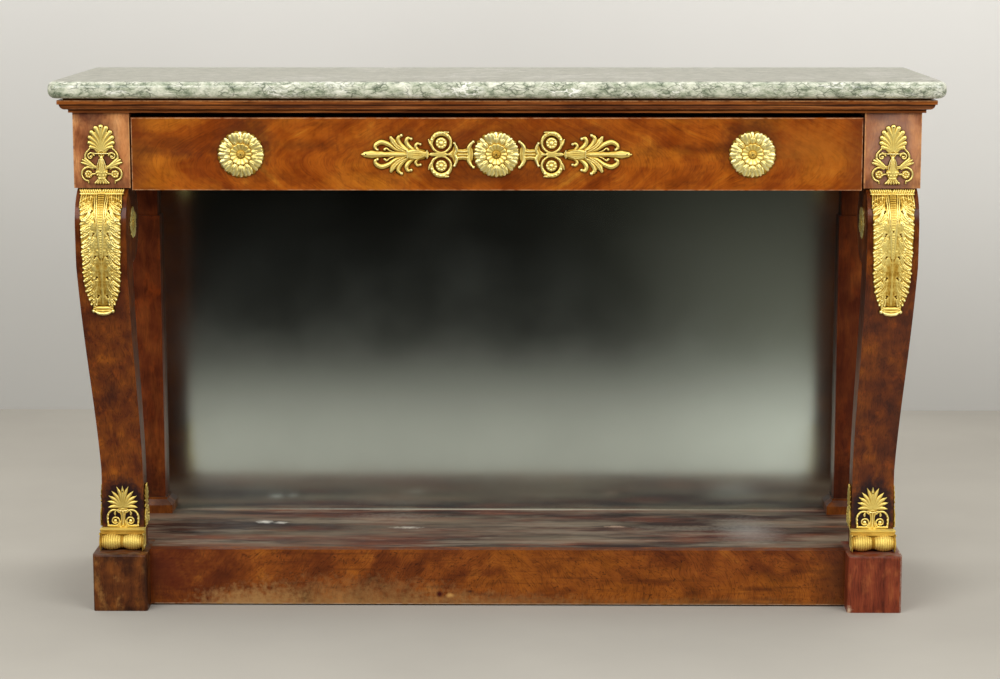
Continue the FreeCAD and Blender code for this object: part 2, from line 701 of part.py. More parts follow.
def frame_mounts():
    palmette_z = frieze_bottom + frieze_palmette_lift
    block_palmette = frieze_palmette(frieze_palmette_width, frieze_palmette_height, mount_thickness)
    pair("frieze_palmette", set_on_front(block_palmette, leg_top_x, frieze_face, palmette_z))
    pair("acanthus_mount", acanthus_mount())
    pair("toe_scroll", toe_scroll())
    toe_z = plinth_height + 2 * toe_roll_radius + toe_band_height + mount_gap
    front_palmette = palmette(toe_palmette_width, toe_palmette_height, toe_palmette_thickness, 11)
    pair("toe_palmette", set_on_front(front_palmette, leg_foot_x, foot_front_y, toe_z))
    side_palmette = palmette(side_palmette_width, toe_palmette_height, toe_palmette_thickness, 9)
    side_y = (foot_front_y + foot_back_y) / 2
    side_z = plinth_height + toe_plate_height + mount_gap
    side_pin_z = side_z + palmette_root_share * toe_palmette_height
    small_rosette = rosette(volute_rosette_radius, volute_rosette_thickness, rosette_petals)
    foot_half, top_half = leg_foot_width / 2, leg_top_width / 2
    pair("side_palmettes", Part.makeCompound(
        [set_on_side(side_palmette, side, leg_foot_x + side * foot_half, side_y, side_z)
         for side in (-1, 1)]))
    pair("volute_rosettes", Part.makeCompound(
        [set_on_side(small_rosette, side, leg_top_x + side * top_half, volute_y, volute_z)
         for side in (-1, 1)]))
    pins = []
    for side, hand in ((-1, "_left"), (1, "_right")):
        leg = "scroll_leg" + hand
        back = V(0, 1, 0)
        pinned(pins, "frieze_palmette" + hand, "frieze_block" + hand,
               V(side * leg_top_x, frieze_face - mount_gap - mount_thickness,
                 palmette_z + frieze_palmette_pin_share * frieze_palmette_height), back, mount_thickness)
        pinned(pins, "acanthus_mount" + hand, leg,
               V(side * leg_top_x, volute_y - volute_radius - mount_gap - acanthus_thickness, volute_z),
               back, acanthus_thickness)
        pinned(pins, "toe_palmette" + hand, leg,
               V(side * leg_foot_x, foot_front_y - mount_gap - toe_palmette_thickness,
                 toe_z + palmette_root_share * toe_palmette_height), back, toe_palmette_thickness)
        for way in (-1, 1):
            inward = V(-way, 0, 0)
            reach = volute_rosette_thickness + mount_gap + top_half
            pinned(pins, "volute_rosettes" + hand, leg,
                   V(side * leg_top_x + way * reach, volute_y, volute_z), inward, volute_rosette_thickness)
            reach = toe_palmette_thickness + mount_gap + foot_half
            pinned(pins, "side_palmettes" + hand, leg,
                   V(side * leg_foot_x + way * reach, side_y, side_pin_z), inward, toe_palmette_thickness)
    shapes["leg_mount_pins"] = Part.makeCompound(pins)


shapes["marble_top"] = marble_top()
shapes["cornice_front"] = cornice_front()
pair("cornice", cornice_right())
frieze()
drawer_guides()
drawer()
plinth()
pilasters()
mirror()
pair("scroll_leg", scroll_leg())
leg_dowels()
drawer_mounts()
frame_mounts()

os.makedirs("parts", exist_ok=True)
for node, shape in shapes.items():
    shape.exportStep("parts/" + node + ".step")
    print(node, "solids", len(shape.Solids), "valid", shape.isValid(), "volume", round(shape.Volume))
print(len(shapes), "nodes")
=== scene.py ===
import json
import math
import bmesh
import bpy
import numpy as np
from mathutils import Matrix, Vector
from mathutils.bvhtree import BVHTree


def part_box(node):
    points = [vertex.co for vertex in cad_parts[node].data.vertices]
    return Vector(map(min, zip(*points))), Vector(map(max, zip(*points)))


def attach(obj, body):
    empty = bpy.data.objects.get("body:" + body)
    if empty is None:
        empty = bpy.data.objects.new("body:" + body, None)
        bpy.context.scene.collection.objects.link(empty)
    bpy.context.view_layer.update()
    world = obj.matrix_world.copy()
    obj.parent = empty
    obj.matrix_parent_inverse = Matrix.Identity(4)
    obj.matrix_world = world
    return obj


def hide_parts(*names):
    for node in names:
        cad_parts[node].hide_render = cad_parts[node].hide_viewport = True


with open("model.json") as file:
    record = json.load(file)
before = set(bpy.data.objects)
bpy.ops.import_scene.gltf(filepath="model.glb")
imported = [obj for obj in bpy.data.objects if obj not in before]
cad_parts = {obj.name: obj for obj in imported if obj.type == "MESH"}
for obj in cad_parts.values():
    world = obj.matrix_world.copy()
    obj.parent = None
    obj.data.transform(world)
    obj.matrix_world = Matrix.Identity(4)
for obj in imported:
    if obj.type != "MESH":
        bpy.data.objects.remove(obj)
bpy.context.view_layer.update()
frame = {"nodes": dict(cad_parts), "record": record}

nodes = frame["nodes"]
scene = bpy.context.scene
mm = 0.001
hands = ("left", "right")
print("frame loaded:", len(nodes), "nodes")


# Small tools: colours, nodes and meshes

def linear(hexColour):
    values = [int(hexColour[i:i + 2], 16) / 255 for i in (1, 3, 5)]
    return [v / 12.92 if v <= 0.04045 else ((v + 0.055) / 1.055) ** 2.4 for v in values] + [1.0]


# fills a node's inputs, by name or in order: sockets are linked and plain values are set
def feed(tree, node, inputs):
    for key, value in inputs.items() if isinstance(inputs, dict) else enumerate(inputs):
        if isinstance(value, bpy.types.NodeSocket):
            tree.links.new(value, node.inputs[key])
        else:
            node.inputs[key].default_value = value


# adds one node and gives back its first output, the one that out names, or all of them where out is None
def add(tree, kind, inputs=(), stops=(), out=0, **settings):
    node = tree.nodes.new(kind if "Node" in kind else "ShaderNode" + kind)
    for key, value in settings.items():
        setattr(node, key, value)
    for index, (place, colour) in enumerate(stops):  # the steps of a colour ramp
        steps = node.color_ramp.elements
        step = steps[index] if index < 2 else steps.new(place)
        step.position = place
        step.color = linear(colour)
    feed(tree, node, inputs)
    return node.outputs if out is None else node.outputs[out]


def newMaterial(name):
    material = bpy.data.materials.new(name)
    material.use_nodes = True
    tree = material.node_tree
    tree.nodes.clear()
    shader = add(tree, "BsdfPrincipled")
    add(tree, "OutputMaterial", (shader,), out=None)
    return material, tree, shader.node, add(tree, "TexCoord", out="Object")


def newObject(name, data):
    piece = bpy.data.objects.new(name, data)
    scene.collection.objects.link(piece)
    return piece


# a closed mesh that carries the tone of its gilding, from 0 in hollows to 1 on crests; the dark hollows
# are partly tarnish and partly painted shade
def newMesh(name, points, faces, tones, gap=0.00002):
    mesh = bpy.data.meshes.new(name)
    mesh.from_pydata(points, [], faces)
    mesh.attributes.new("crest", "FLOAT", "POINT").data.foreach_set("value", np.array(tones, np.float32))
    shell = bmesh.new()
    shell.from_mesh(mesh)
    bmesh.ops.remove_doubles(shell, verts=shell.verts, dist=gap)
    bmesh.ops.dissolve_degenerate(shell, edges=shell.edges, dist=gap / 4)
    bmesh.ops.recalc_face_normals(shell, faces=shell.faces)
    shell.to_mesh(mesh)
    shell.free()
    mesh.shade_smooth()
    return mesh


def joined(name, meshes):
    pieces = [newObject(name, mesh) for mesh in meshes]
    with bpy.context.temp_override(active_object=pieces[0], selected_editable_objects=pieces):
        bpy.ops.object.join()
    pieces[0].name = name
    return pieces[0]


# the middle and the two corners of a CAD node's box
def middle(node):
    low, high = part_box(node)
    return (low + high) / 2, low, high


# runs a Geometry Nodes tree once and gives back its result as a plain mesh
def grown(name, tree, values):
    holder = newObject(name, bpy.data.meshes.new(name))
    modifier = holder.modifiers.new("grow", "NODES")
    modifier.node_group = tree
    sockets = {s.name: s.identifier for s in tree.interface.items_tree if s.in_out == "INPUT"}
    for key, value in values.items():
        modifier[sockets[key]] = value
    depsgraph = bpy.context.evaluated_depsgraph_get()
    mesh = bpy.data.meshes.new_from_object(holder.evaluated_get(depsgraph), depsgraph=depsgraph)
    holder.modifiers.remove(modifier)
    bpy.data.objects.remove(holder)
    return mesh


def newTree(name, inputs):
    tree = bpy.data.node_groups.new(name, "GeometryNodeTree")
    for label, kind in inputs:
        tree.interface.new_socket(label, in_out="INPUT", socket_type="NodeSocket" + kind)
    tree.interface.new_socket("Geometry", in_out="OUTPUT", socket_type="NodeSocketGeometry")
    return tree, add(tree, "NodeGroupInput", out=None)


def endTree(tree, parts, finish):
    whole = add(tree, "GeometryNodeJoinGeometry")
    for part in parts:
        tree.links.new(part, whole.node.inputs[0])
    real = add(tree, "GeometryNodeRealizeInstances", (whole,))
    smooth = add(tree, "GeometryNodeSetShadeSmooth", (real,))
    dressed = add(tree, "GeometryNodeSetMaterial", {"Geometry": smooth, "Material": finish})
    add(tree, "NodeGroupOutput", (dressed,), out=None)


# Paths for the castings, in millimetres on the mount's own face

def throughPoints(points, steps=10):
    pts = [np.array(p, float) for p in points]
    pts = [2 * pts[0] - pts[1]] + pts + [2 * pts[-1] - pts[-2]]
    line = []
    for a, b, c, d in zip(pts, pts[1:], pts[2:], pts[3:]):
        for t in np.linspace(0, 1, steps, endpoint=False):
            line.append(0.5 * (2 * b + (c - a) * t + (2 * a - 5 * b + 4 * c - d) * t ** 2
                               + (3 * b - a - 3 * c + d) * t ** 3))
    return line + [pts[-2]]


def arcPath(centre, startRadius, endRadius, startAngle, endAngle, steps=40):
    turns = np.radians(np.linspace(startAngle, endAngle, steps))
    radii = np.linspace(startRadius, endRadius, steps)
    return [np.array((centre[0] + r * math.cos(a), centre[1] + r * math.sin(a)))
            for r, a in zip(radii, turns)]


# Cast relief: half a sheet of points, on which members are laid along paths, then mirrored and given a back

def newSheet(halfWidth, low, high, step):
    xs = np.arange(0, halfWidth + 2 * step, step)
    zs = np.arange(low - 2 * step, high + 2 * step, step)
    x, z = np.meshgrid(xs, zs, indexing="ij")
    return {"x": x, "z": z, "step": step, "inside": np.full(x.shape, -99.0), "height": np.zeros(x.shape),
            "shade": np.zeros(x.shape)}


sections = {  # cross sections, from 0 on the axis to 1 at the edge
    "round": lambda q: np.sqrt(np.clip(1 - q * q, 0, 1)),
    "ridge": lambda q: 0.35 * np.sqrt(np.clip(1 - q * q, 0, 1)) + 0.65 * np.clip(1 - q, 0, 1),
    "groove": lambda q: np.sqrt(np.clip(1 - q * q, 0, 1)) - 0.45 * np.exp(-(q / 0.22) ** 2),
    "dish": lambda q: np.where(q < 0.8, 0.55 + 0.65 * q * q, np.sqrt(np.clip(1 - q * q, 0, 1)) * 1.61),
    "ribbed": lambda q: np.sqrt(np.clip(1 - q * q, 0, 1)) * (0.8 + 0.2 * np.cos(q * 3 * math.pi)),
    "flat": lambda q: np.clip((1 - q) * 4, 0, 1) ** 0.5,
}


# the part of a sheet round some points
def window(sheet, pts, room):
    x, z = sheet["x"][:, 0], sheet["z"][0]
    near = np.where((x >= pts[:, 0].min() - room) & (x <= pts[:, 0].max() + room))[0]
    level = np.where((z >= pts[:, 1].min() - room) & (z <= pts[:, 1].max() + room))[0]
    if not len(near) or not len(level):
        return None
    return np.s_[near[0]:near[-1] + 1, level[0]:level[-1] + 1]


def press(sheet, part, depth, height):
    old = sheet["height"][part]
    sheet["height"][part] = np.where(depth > 0, np.maximum(old, height), old)
    sheet["inside"][part] = np.maximum(sheet["inside"][part], depth)


# one cast member: half is its half width and rise its height along the path, lift raises it off the back
def lay(sheet, path, half, rise, section="round", lift=0.8):
    pts = np.array(path, float)
    share = np.linspace(0, 1, len(pts))
    half = np.interp(share, np.linspace(0, 1, len(half)), half)
    rise = np.interp(share, np.linspace(0, 1, len(rise)), rise)
    part = window(sheet, pts, half.max() + 3 * sheet["step"])
    if part is None:
        return
    px, pz = sheet["x"][part], sheet["z"][part]
    depth = np.full(px.shape, -99.0)
    height = np.zeros(px.shape)
    for a, b, w0, w1, h0, h1 in zip(pts, pts[1:], half, half[1:], rise, rise[1:]):
        run = b - a
        t = np.clip(((px - a[0]) * run[0] + (pz - a[1]) * run[1]) / max(run @ run, 1e-9), 0, 1)
        away = np.hypot(px - a[0] - t * run[0], pz - a[1] - t * run[1])
        width = np.maximum(w0 + t * (w1 - w0), 0.05)
        here = width - away
        tall = (h0 + t * (h1 - h0)) * sections[section](np.clip(away / width, 0, 1)) + lift
        better = here > depth
        depth = np.where(better, here, depth)
        height = np.where(better, tall, height)
    press(sheet, part, depth, height)


def curve(sheet, points, half, rise, section="round", lift=0.8):
    lay(sheet, throughPoints(points), half, rise, section, lift)


def dot(sheet, at, radius, rise, section="round", lift=0.8):
    lay(sheet, [at, at], [radius], [rise], section, lift)


# a flat member cut to an outline, with its edge rounded over
def plate(sheet, outline, edge, rise, lift=0.8):
    pts = np.array(outline, float)
    part = window(sheet, pts, 3 * sheet["step"])
    px, pz = sheet["x"][part], sheet["z"][part]
    away = np.full(px.shape, 99.0)
    odd = np.zeros(px.shape, bool)
    for a, b in zip(pts, np.roll(pts, -1, axis=0)):
        run = b - a
        t = np.clip(((px - a[0]) * run[0] + (pz - a[1]) * run[1]) / max(run @ run, 1e-9), 0, 1)
        away = np.minimum(away, np.hypot(px - a[0] - t * run[0], pz - a[1] - t * run[1]))
        level = run[1] if abs(run[1]) > 1e-9 else 1e-9
        odd ^= ((a[1] > pz) != (b[1] > pz)) & (px < a[0] + run[0] * (pz - a[1]) / level)
    depth = np.where(odd, away, -away)
    press(sheet, part, depth, lift + rise * np.sqrt(1 - np.clip(1 - depth / edge, 0, 1) ** 2))


# a pit or a hole: sinks the relief round a point, and pierces it where the floor is None
def sink(sheet, x, z, radius, floor):
    away = np.hypot(sheet["x"] - x, sheet["z"] - z)
    if floor is None:
        sheet["inside"] = np.minimum(sheet["inside"], away - radius)
    else:
        bowl = floor + (sheet["height"] - floor) * np.clip((away / radius - 0.55) / 0.45, 0, 1)
        sheet["height"] = np.where(away < radius, np.minimum(sheet["height"], bowl), sheet["height"])


def blurred(field, cells):
    reach = np.arange(-3 * cells, 3 * cells + 1)
    weights = np.exp(-0.5 * (reach / cells) ** 2)
    weights /= weights.sum()

    def smoothed(row):
        return np.convolve(np.pad(row, 3 * cells, mode="edge"), weights, "valid")

    return np.apply_along_axis(smoothed, 1, np.apply_along_axis(smoothed, 0, field))


backTone = 0.3  # tone of the gilding on a casting's back


# turns a sheet into a closed casting, put in place by a function of (across, up, out) in millimetres
def cast(name, sheet, place, mirrorUp=False):
    x, z, inside, height, shade = (sheet[k] for k in ("x", "z", "inside", "height", "shade"))
    x = np.concatenate((-x[:0:-1], x))
    z, inside, height, shade = (np.concatenate((a[:0:-1], a)) for a in (z, inside, height, shade))
    if mirrorUp:
        keep = z[0] > -sheet["step"] / 2
        x, z, inside, height, shade = (a[:, keep] for a in (x, z, inside, height, shade))
        z = np.concatenate((-z[:, :0:-1], z), axis=1)
        x, inside, height, shade = (np.concatenate((a[:, :0:-1], a), axis=1)
                                    for a in (x, inside, height, shade))
    solid = inside > 0
    height = np.where(solid, np.maximum(height, 0.6), 0)
    ground = blurred(height, 4) / np.maximum(blurred(solid.astype(float), 4), 0.05)
    # crest tone: darker where the relief lies below its surroundings, partly tarnish, partly painted shade
    crest = np.clip(0.5 + (height - ground) / 2.4 + shade, 0, 1)
    cell = solid[:-1, :-1] | solid[1:, :-1] | solid[:-1, 1:] | solid[1:, 1:]
    used = np.zeros(solid.shape, bool)
    for i, j in ((0, 0), (1, 0), (0, 1), (1, 1)):
        used[i:used.shape[0] - 1 + i, j:used.shape[1] - 1 + j] |= cell
    rim = used & ~solid  # rim points slide onto the true outline
    moveX, moveZ, found = np.zeros(x.shape), np.zeros(x.shape), np.zeros(x.shape)
    for i, j in ((-1, 0), (1, 0), (0, -1), (0, 1), (-1, -1), (1, 1), (-1, 1), (1, -1)):
        other = np.roll(inside, (-i, -j), (0, 1))
        cross = rim & (other > 0)
        share = np.where(cross, -inside / np.maximum(other - inside, 1e-6), 0)
        moveX += share * (np.roll(x, (-i, -j), (0, 1)) - x) * cross
        moveZ += share * (np.roll(z, (-i, -j), (0, 1)) - z) * cross
        found += cross
    x = x + np.where(rim, moveX / np.maximum(found, 1), 0)
    z = z + np.where(rim, moveZ / np.maximum(found, 1), 0)
    front = np.full(solid.shape, -1)
    front[used] = np.arange(used.sum())
    back = front.copy()
    back[solid] = used.sum() + np.arange(solid.sum())
    points = [place(*p) for p in zip(x[used], z[used], height[used])]
    points += [place(*p) for p in zip(x[solid], z[solid], np.zeros(solid.sum()))]
    i, j = np.where(cell)
    faces = np.stack((front[i, j], front[i + 1, j], front[i + 1, j + 1], front[i, j + 1]), 1).tolist()
    faces += np.stack((back[i, j], back[i, j + 1], back[i + 1, j + 1], back[i + 1, j]), 1).tolist()
    return newMesh(name, points, faces, np.concatenate((crest[used], np.full(solid.sum(), backTone))))


# a turned body round +Z from rows of (radius, height), with a wave height and a tone where a row gives them
def turned(name, profile, segments=48, waves=0):
    points, faces, tones = [], [], []
    tall = max(row[1] for row in profile) or 1
    for row in profile:
        wave, tone = tuple(row[2:]) + (0.0, 0.35 + 0.45 * row[1] / tall)[len(row) - 2:]
        for k in range(segments):
            a = 2 * math.pi * k / segments
            swing = math.cos(waves * a)
            r = row[0] + 0.7 * wave * swing
            points.append((r * math.cos(a), r * math.sin(a), row[1] + wave * swing))
            tones.append(tone + 0.4 * wave * swing)
    for n in range(len(profile) - 1):
        for k in range(segments):
            m = (k + 1) % segments
            faces.append((n * segments + k, n * segments + m, (n + 1) * segments + m, (n + 1) * segments + k))
    return newMesh(name, points, faces, tones)


# Materials. In the looks, sizes are in millimetres and places in metres.

# coordinates bent by a slow noise of the given size, which moves them by up to the given amount
def swayed(tree, where, size, amount, detail):
    sway = add(tree, "TexNoise", {"Vector": where, "Scale": 1 / (size * mm), "Detail": detail}, out="Color")
    sway = add(tree, "VectorMath", (sway, (0.5, 0.5, 0.5)), operation="SUBTRACT")
    sway = add(tree, "VectorMath", {0: sway, "Scale": 2 * amount * mm}, operation="SCALE")
    return add(tree, "VectorMath", (where, sway))


# a cloudy mask: noise drawn out to a size, nothing below low and the full share above high
def cloudMask(tree, where, size, low, high, share, shift=(0, 0, 0), detail=4.0, rough=0.62):
    place = add(tree, "Mapping", {"Vector": where, "Location": shift, "Scale": [1 / (v * mm) for v in size]})
    cloud = add(tree, "TexNoise", {"Vector": place, "Scale": 1.0, "Detail": detail, "Roughness": rough})
    return add(tree, "MapRange", (cloud, low, high, 0.0, share))


# Mahogany veneer, cut thin, glued down and French polished: warm brown figure under a thin clear film,
# with pale edge lines that are partly wear and partly painted highlight, dark lines in hollows that are
# painted shade, dark dirt round the mounts with painted shadow in it, and dust on ledges where the look
# asks for them.
# Its rows in a look: patches (tone, share, size, low, high, shift, detail), stains (tone, share, place, size,
# raggedness, core, rim), pale edge lines (axis, place, width), dust (tone, share, size, low, high).
def mahogany(name, look):
    material, tree, shader, where = newMaterial(name)
    axes = add(tree, "SeparateXYZ", (where,), out=None)
    facing = add(tree, "SeparateXYZ", (add(tree, "NewGeometry", out="Normal"),), out=None)
    bent = swayed(tree, where, *look["warp"], 2.0)
    if "feather" in look:  # crotch figure, book-matched about the middle
        axis, slope, bend = look["feather"]
        parts = add(tree, "SeparateXYZ", (bent,), out=None)
        aside = add(tree, "Math", (parts[0],), operation="ABSOLUTE")
        rise = add(tree, "Math", (parts[2], axis), operation="SUBTRACT")
        square = add(tree, "Math", (rise, rise, (bend * mm) ** 2), operation="MULTIPLY_ADD")
        arch = add(tree, "Math", (square,), operation="SQRT")
        across = add(tree, "Math", (arch, slope, aside), operation="MULTIPLY_ADD")
        bent = add(tree, "CombineXYZ", (across, parts[1], rise))
    along = look.get("grain", "z")
    streakLength, streakWidth = look["streak"]
    stretch = [1 / ((streakLength if axis == along else streakWidth) * mm) for axis in "xyz"]
    grain = add(tree, "Mapping", {"Vector": bent, "Scale": stretch})
    streak = add(tree, "TexNoise", {"Vector": grain, "Scale": 1.0, "Detail": look.get("detail", 5.0),
                                    "Roughness": 0.55, "Distortion": 0.6})
    mottleSize, mottleShare = look["mottle"]
    mottle = add(tree, "TexNoise", {"Vector": where, "Scale": 1 / (mottleSize * mm), "Detail": 3.0,
                                    "Roughness": 0.5})
    blend = add(tree, "Mix", {"Factor": mottleShare, "A": streak, "B": mottle})
    colour = add(tree, "ValToRGB", (blend,), stops=look["tones"])
    for tone, share, size, low, high, *more in look.get("patches", ()):  # ripple, specks, changes of colour
        mask = cloudMask(tree, where, size, low, high, share, *more)
        colour = add(tree, "Mix", {"Factor": mask, "A": colour, "B": linear(tone)}, out=2, data_type="RGBA")
    # open pores, about 0.4 mm wide on the real wood and drawn 2 mm wide so that they show
    stretch = [1 / ((28 if axis == along else 2) * mm) for axis in "xyz"]
    pores = add(tree, "Mapping", {"Vector": bent, "Scale": stretch})
    pores = add(tree, "TexNoise", {"Vector": pores, "Scale": 1.0, "Detail": 2.0})
    pores = add(tree, "MapRange", (pores, 0.48, 0.70, 0.0, look["pores"]))
    colour = add(tree, "Mix", {"Factor": pores, "A": colour, "B": linear(look["tones"][0][1])}, out=2,
                 data_type="RGBA", blend_type="MULTIPLY")
    rough = add(tree, "MapRange", (mottle, 0.3, 0.7, *look["rough"]))
    speckle = add(tree, "TexNoise", {"Vector": where, "Scale": 1 / (9 * mm), "Detail": 4.0,
                                     "Roughness": 0.65})
    for tone, share, at, size, *more in look.get("stains", ()):  # bruises, wax, bleached and chipped spots, and some painted shade and shadow
        ragged, core, rim = more + [0.6, 0.6, 1.3][len(more):]
        away = add(tree, "VectorMath", (where, at), operation="SUBTRACT")
        away = add(tree, "VectorMath", (away, [v * mm for v in size]), operation="DIVIDE")
        away = add(tree, "VectorMath", (away,), out="Value", operation="LENGTH")
        away = add(tree, "Math", (speckle, ragged, away), operation="MULTIPLY_ADD")
        mask = add(tree, "MapRange", (away, core, rim, share, 0.0))
        colour = add(tree, "Mix", {"Factor": mask, "A": colour, "B": linear(tone)}, out=2, data_type="RGBA")
    if "rubbedAndGlinting" in look:  # pale edge lines: partly wear from hands and cloths, partly painted highlight where edges catch the light
        rubbedAndGlinting = 0.0
        for axis, place, width in look["rubbedAndGlinting"]:
            gap = add(tree, "Math", (axes["xyz".index(axis)], place), operation="SUBTRACT")
            gap = add(tree, "Math", (gap,), operation="ABSOLUTE")
            line = add(tree, "MapRange", (gap, width * mm * 0.4, width * mm, 1.0, 0.0))
            level = add(tree, "Math", (facing["xyz".index(axis)],), operation="ABSOLUTE")
            level = add(tree, "MapRange", (level, 0.75, 0.9, 1.0, 0.0))  # not on a face that lies along it
            line = add(tree, "Math", (line, level), operation="MULTIPLY")
            rubbedAndGlinting = add(tree, "Math", (rubbedAndGlinting, line), operation="MAXIMUM")
        tone, share = look["rubbedAndGlintTone"]
        patchy = add(tree, "MapRange", (speckle, 0.35, 0.6, 0.0, share))
        worn = add(tree, "Math", (rubbedAndGlinting, patchy), operation="MULTIPLY")
        colour = add(tree, "Mix", {"Factor": worn, "A": colour, "B": linear(tone)}, out=2, data_type="RGBA")
    if "dust" in look:  # a film on faces that look up: grey dust on the plinths and the platform, a dark brown on the pilaster bases
        tone, share, size, low, high = look["dust"]
        upward = add(tree, "MapRange", (facing[2], 0.5, 0.95, 0.0, share))
        drift = cloudMask(tree, where, size, low, high, 1.0, detail=5.0, rough=0.6)
        film = add(tree, "Math", (upward, drift), operation="MULTIPLY")
        colour = add(tree, "Mix", {"Factor": film, "A": colour, "B": linear(tone)}, out=2, data_type="RGBA")
        rough = add(tree, "Math", (film, 0.3, rough), operation="MULTIPLY_ADD")
    bump = add(tree, "Bump", {"Height": streak, "Strength": 0.12, "Distance": 0.6 * mm})
    # the old polish has sunk and dulled, so the wood under it shines little
    feed(tree, shader, {"Base Color": colour, "Roughness": rough, "Normal": bump, "IOR": 1.5,
                        "Specular IOR Level": 0.1, "Coat Weight": 0.5 * look["polish"],
                        "Coat Roughness": 0.12})
    return material


# Bare softwood and oak of the carcase: planed or sawn, dry and brown with age, straight grain, no polish.
def carcaseWood(name, look):
    material, tree, shader, where = newMaterial(name)
    streakLength, streakWidth = look["streak"]
    stretch = [1 / ((streakLength if axis == look["grain"] else streakWidth) * mm) for axis in "xyz"]
    grain = add(tree, "Mapping", {"Vector": where, "Scale": stretch})
    rings = add(tree, "TexNoise", {"Vector": grain, "Scale": 1.0, "Detail": 5.0, "Roughness": 0.6,
                                   "Distortion": 0.6})
    colour = add(tree, "ValToRGB", (rings,), stops=look["tones"])
    grime = add(tree, "TexNoise", {"Vector": where, "Scale": 1 / (70 * mm), "Detail": 5.0})
    grime = add(tree, "MapRange", (grime, 0.48, 0.75, 0.0, 0.55))
    colour = add(tree, "Mix", {"Factor": grime, "A": colour, "B": linear(look["grime"])}, out=2,
                 data_type="RGBA")
    bump = add(tree, "Bump", {"Height": rings, "Strength": 0.35, "Distance": 1.2 * mm})
    feed(tree, shader, {"Base Color": colour, "Normal": bump, "Roughness": 0.78})
    return material


# Sea-green veined marble, sawn, ground and polished: pale green-grey clots in a net of dark green seams,
# with white calcite veins, under a hard polish; the pale sheen that the top shows at a low angle is painted
# into the colour of faces that look up.
# Its rows in a look: seams (tone, share, size, width, gaps, low, high), veins (tone, share, size, gaps).
def veinedMarble(name, look):
    material, tree, shader, where = newMaterial(name)
    bent = swayed(tree, where, *look["stir"], 4.0)
    bent = add(tree, "Mapping", {"Vector": bent, "Rotation": (0, 0.4, 0), "Scale": look["stretch"]})
    clouds = add(tree, "TexNoise", {"Vector": bent, "Scale": 1 / (look["clouds"] * mm), "Detail": 6.0,
                                    "Roughness": 0.6})
    colour = add(tree, "ValToRGB", (clouds,), stops=look["tones"])
    for tone, share, size, width, gaps, low, high in look["seams"]:  # nets of seams, coarse then fine
        net = add(tree, "TexVoronoi", {"Vector": bent, "Scale": 1 / (size * mm)}, out="Distance",
                  feature="DISTANCE_TO_EDGE")
        line = add(tree, "MapRange", (net, 0.0, width, 1.0, 0.0))
        gate = add(tree, "TexNoise", {"Vector": where, "Scale": 1 / (gaps * mm), "Detail": 3.0})
        gate = add(tree, "MapRange", (gate, low, high, 0.0, share))
        line = add(tree, "Math", (line, gate), operation="MULTIPLY")
        colour = add(tree, "Mix", {"Factor": line, "A": colour, "B": linear(tone)}, out=2, data_type="RGBA")
    # white calcite: thin crooked veins where a coarse noise passes its middle value
    tone, share, size, gaps = look["veins"]
    vein = add(tree, "TexNoise", {"Vector": bent, "Scale": 1 / (size * mm), "Detail": 5.0, "Roughness": 0.65})
    vein = add(tree, "Math", (vein, 0.47), operation="SUBTRACT")
    vein = add(tree, "Math", (vein,), operation="ABSOLUTE")
    vein = add(tree, "MapRange", (vein, 0.004, 0.022, share, 0.0))
    gate = add(tree, "TexNoise", {"Vector": where, "Scale": 1 / (gaps * mm), "Detail": 2.0})
    gate = add(tree, "MapRange", (gate, 0.5, 0.62))
    vein = add(tree, "Math", (vein, gate), operation="MULTIPLY")
    colour = add(tree, "Mix", {"Factor": vein, "A": colour, "B": linear(tone)}, out=2, data_type="RGBA")
    # painted sheen: on faces that look up the colour is drawn towards a flat pale grey-beige, standing in for
    # the sheen of the polished top seen at a low angle, and the roughness rises with it
    tone, share = look["sheen"]
    upward = add(tree, "SeparateXYZ", (add(tree, "NewGeometry", out="Normal"),), out=2)
    paintedSheen = add(tree, "MapRange", (upward, 0.80, 0.99, 0.0, share))
    colour = add(tree, "Mix", {"Factor": paintedSheen, "A": colour, "B": linear(tone)}, out=2, data_type="RGBA")
    rough = add(tree, "MapRange", (paintedSheen, 0.0, share, *look["rough"]))
    feed(tree, shader, {"Base Color": colour, "Roughness": rough, "IOR": 1.5})
    return material


# Gilt bronze: cast, chased and mercury gilt, so warm matt gold in the hollows of the tool marks and burnished
# on the crests, with brown-green tarnish and old wax left in the recesses.
# The dark tone in the hollows follows the crest tone: partly tarnish and wax, partly painted shade.
def giltBronze(name, look):
    material, tree, shader, where = newMaterial(name)
    crest = add(tree, "Attribute", out="Fac", attribute_name="crest")
    cloud = add(tree, "TexNoise", {"Vector": where, "Scale": 1 / (look["cloud"] * mm), "Detail": 4.0,
                                   "Roughness": 0.6})
    shade = add(tree, "Math", (cloud, 0.5), operation="SUBTRACT")
    shade = add(tree, "Math", (shade, look["uneven"], crest), operation="MULTIPLY_ADD")
    colour = add(tree, "ValToRGB", (shade,), stops=look["tones"])
    rough = add(tree, "MapRange", (shade, 0.25, 0.8, *look["rough"]))
    # punched ground, about 0.5 mm on the real castings and drawn 1.5 mm so that it shows
    punch = add(tree, "TexNoise", {"Vector": where, "Scale": 1 / (1.5 * mm), "Detail": 2.0})
    bump = add(tree, "Bump", {"Height": punch, "Strength": look["punch"], "Distance": 0.4 * mm})
    feed(tree, shader, {"Base Color": colour, "Roughness": rough, "Normal": bump, "Metallic": 1.0})
    return material


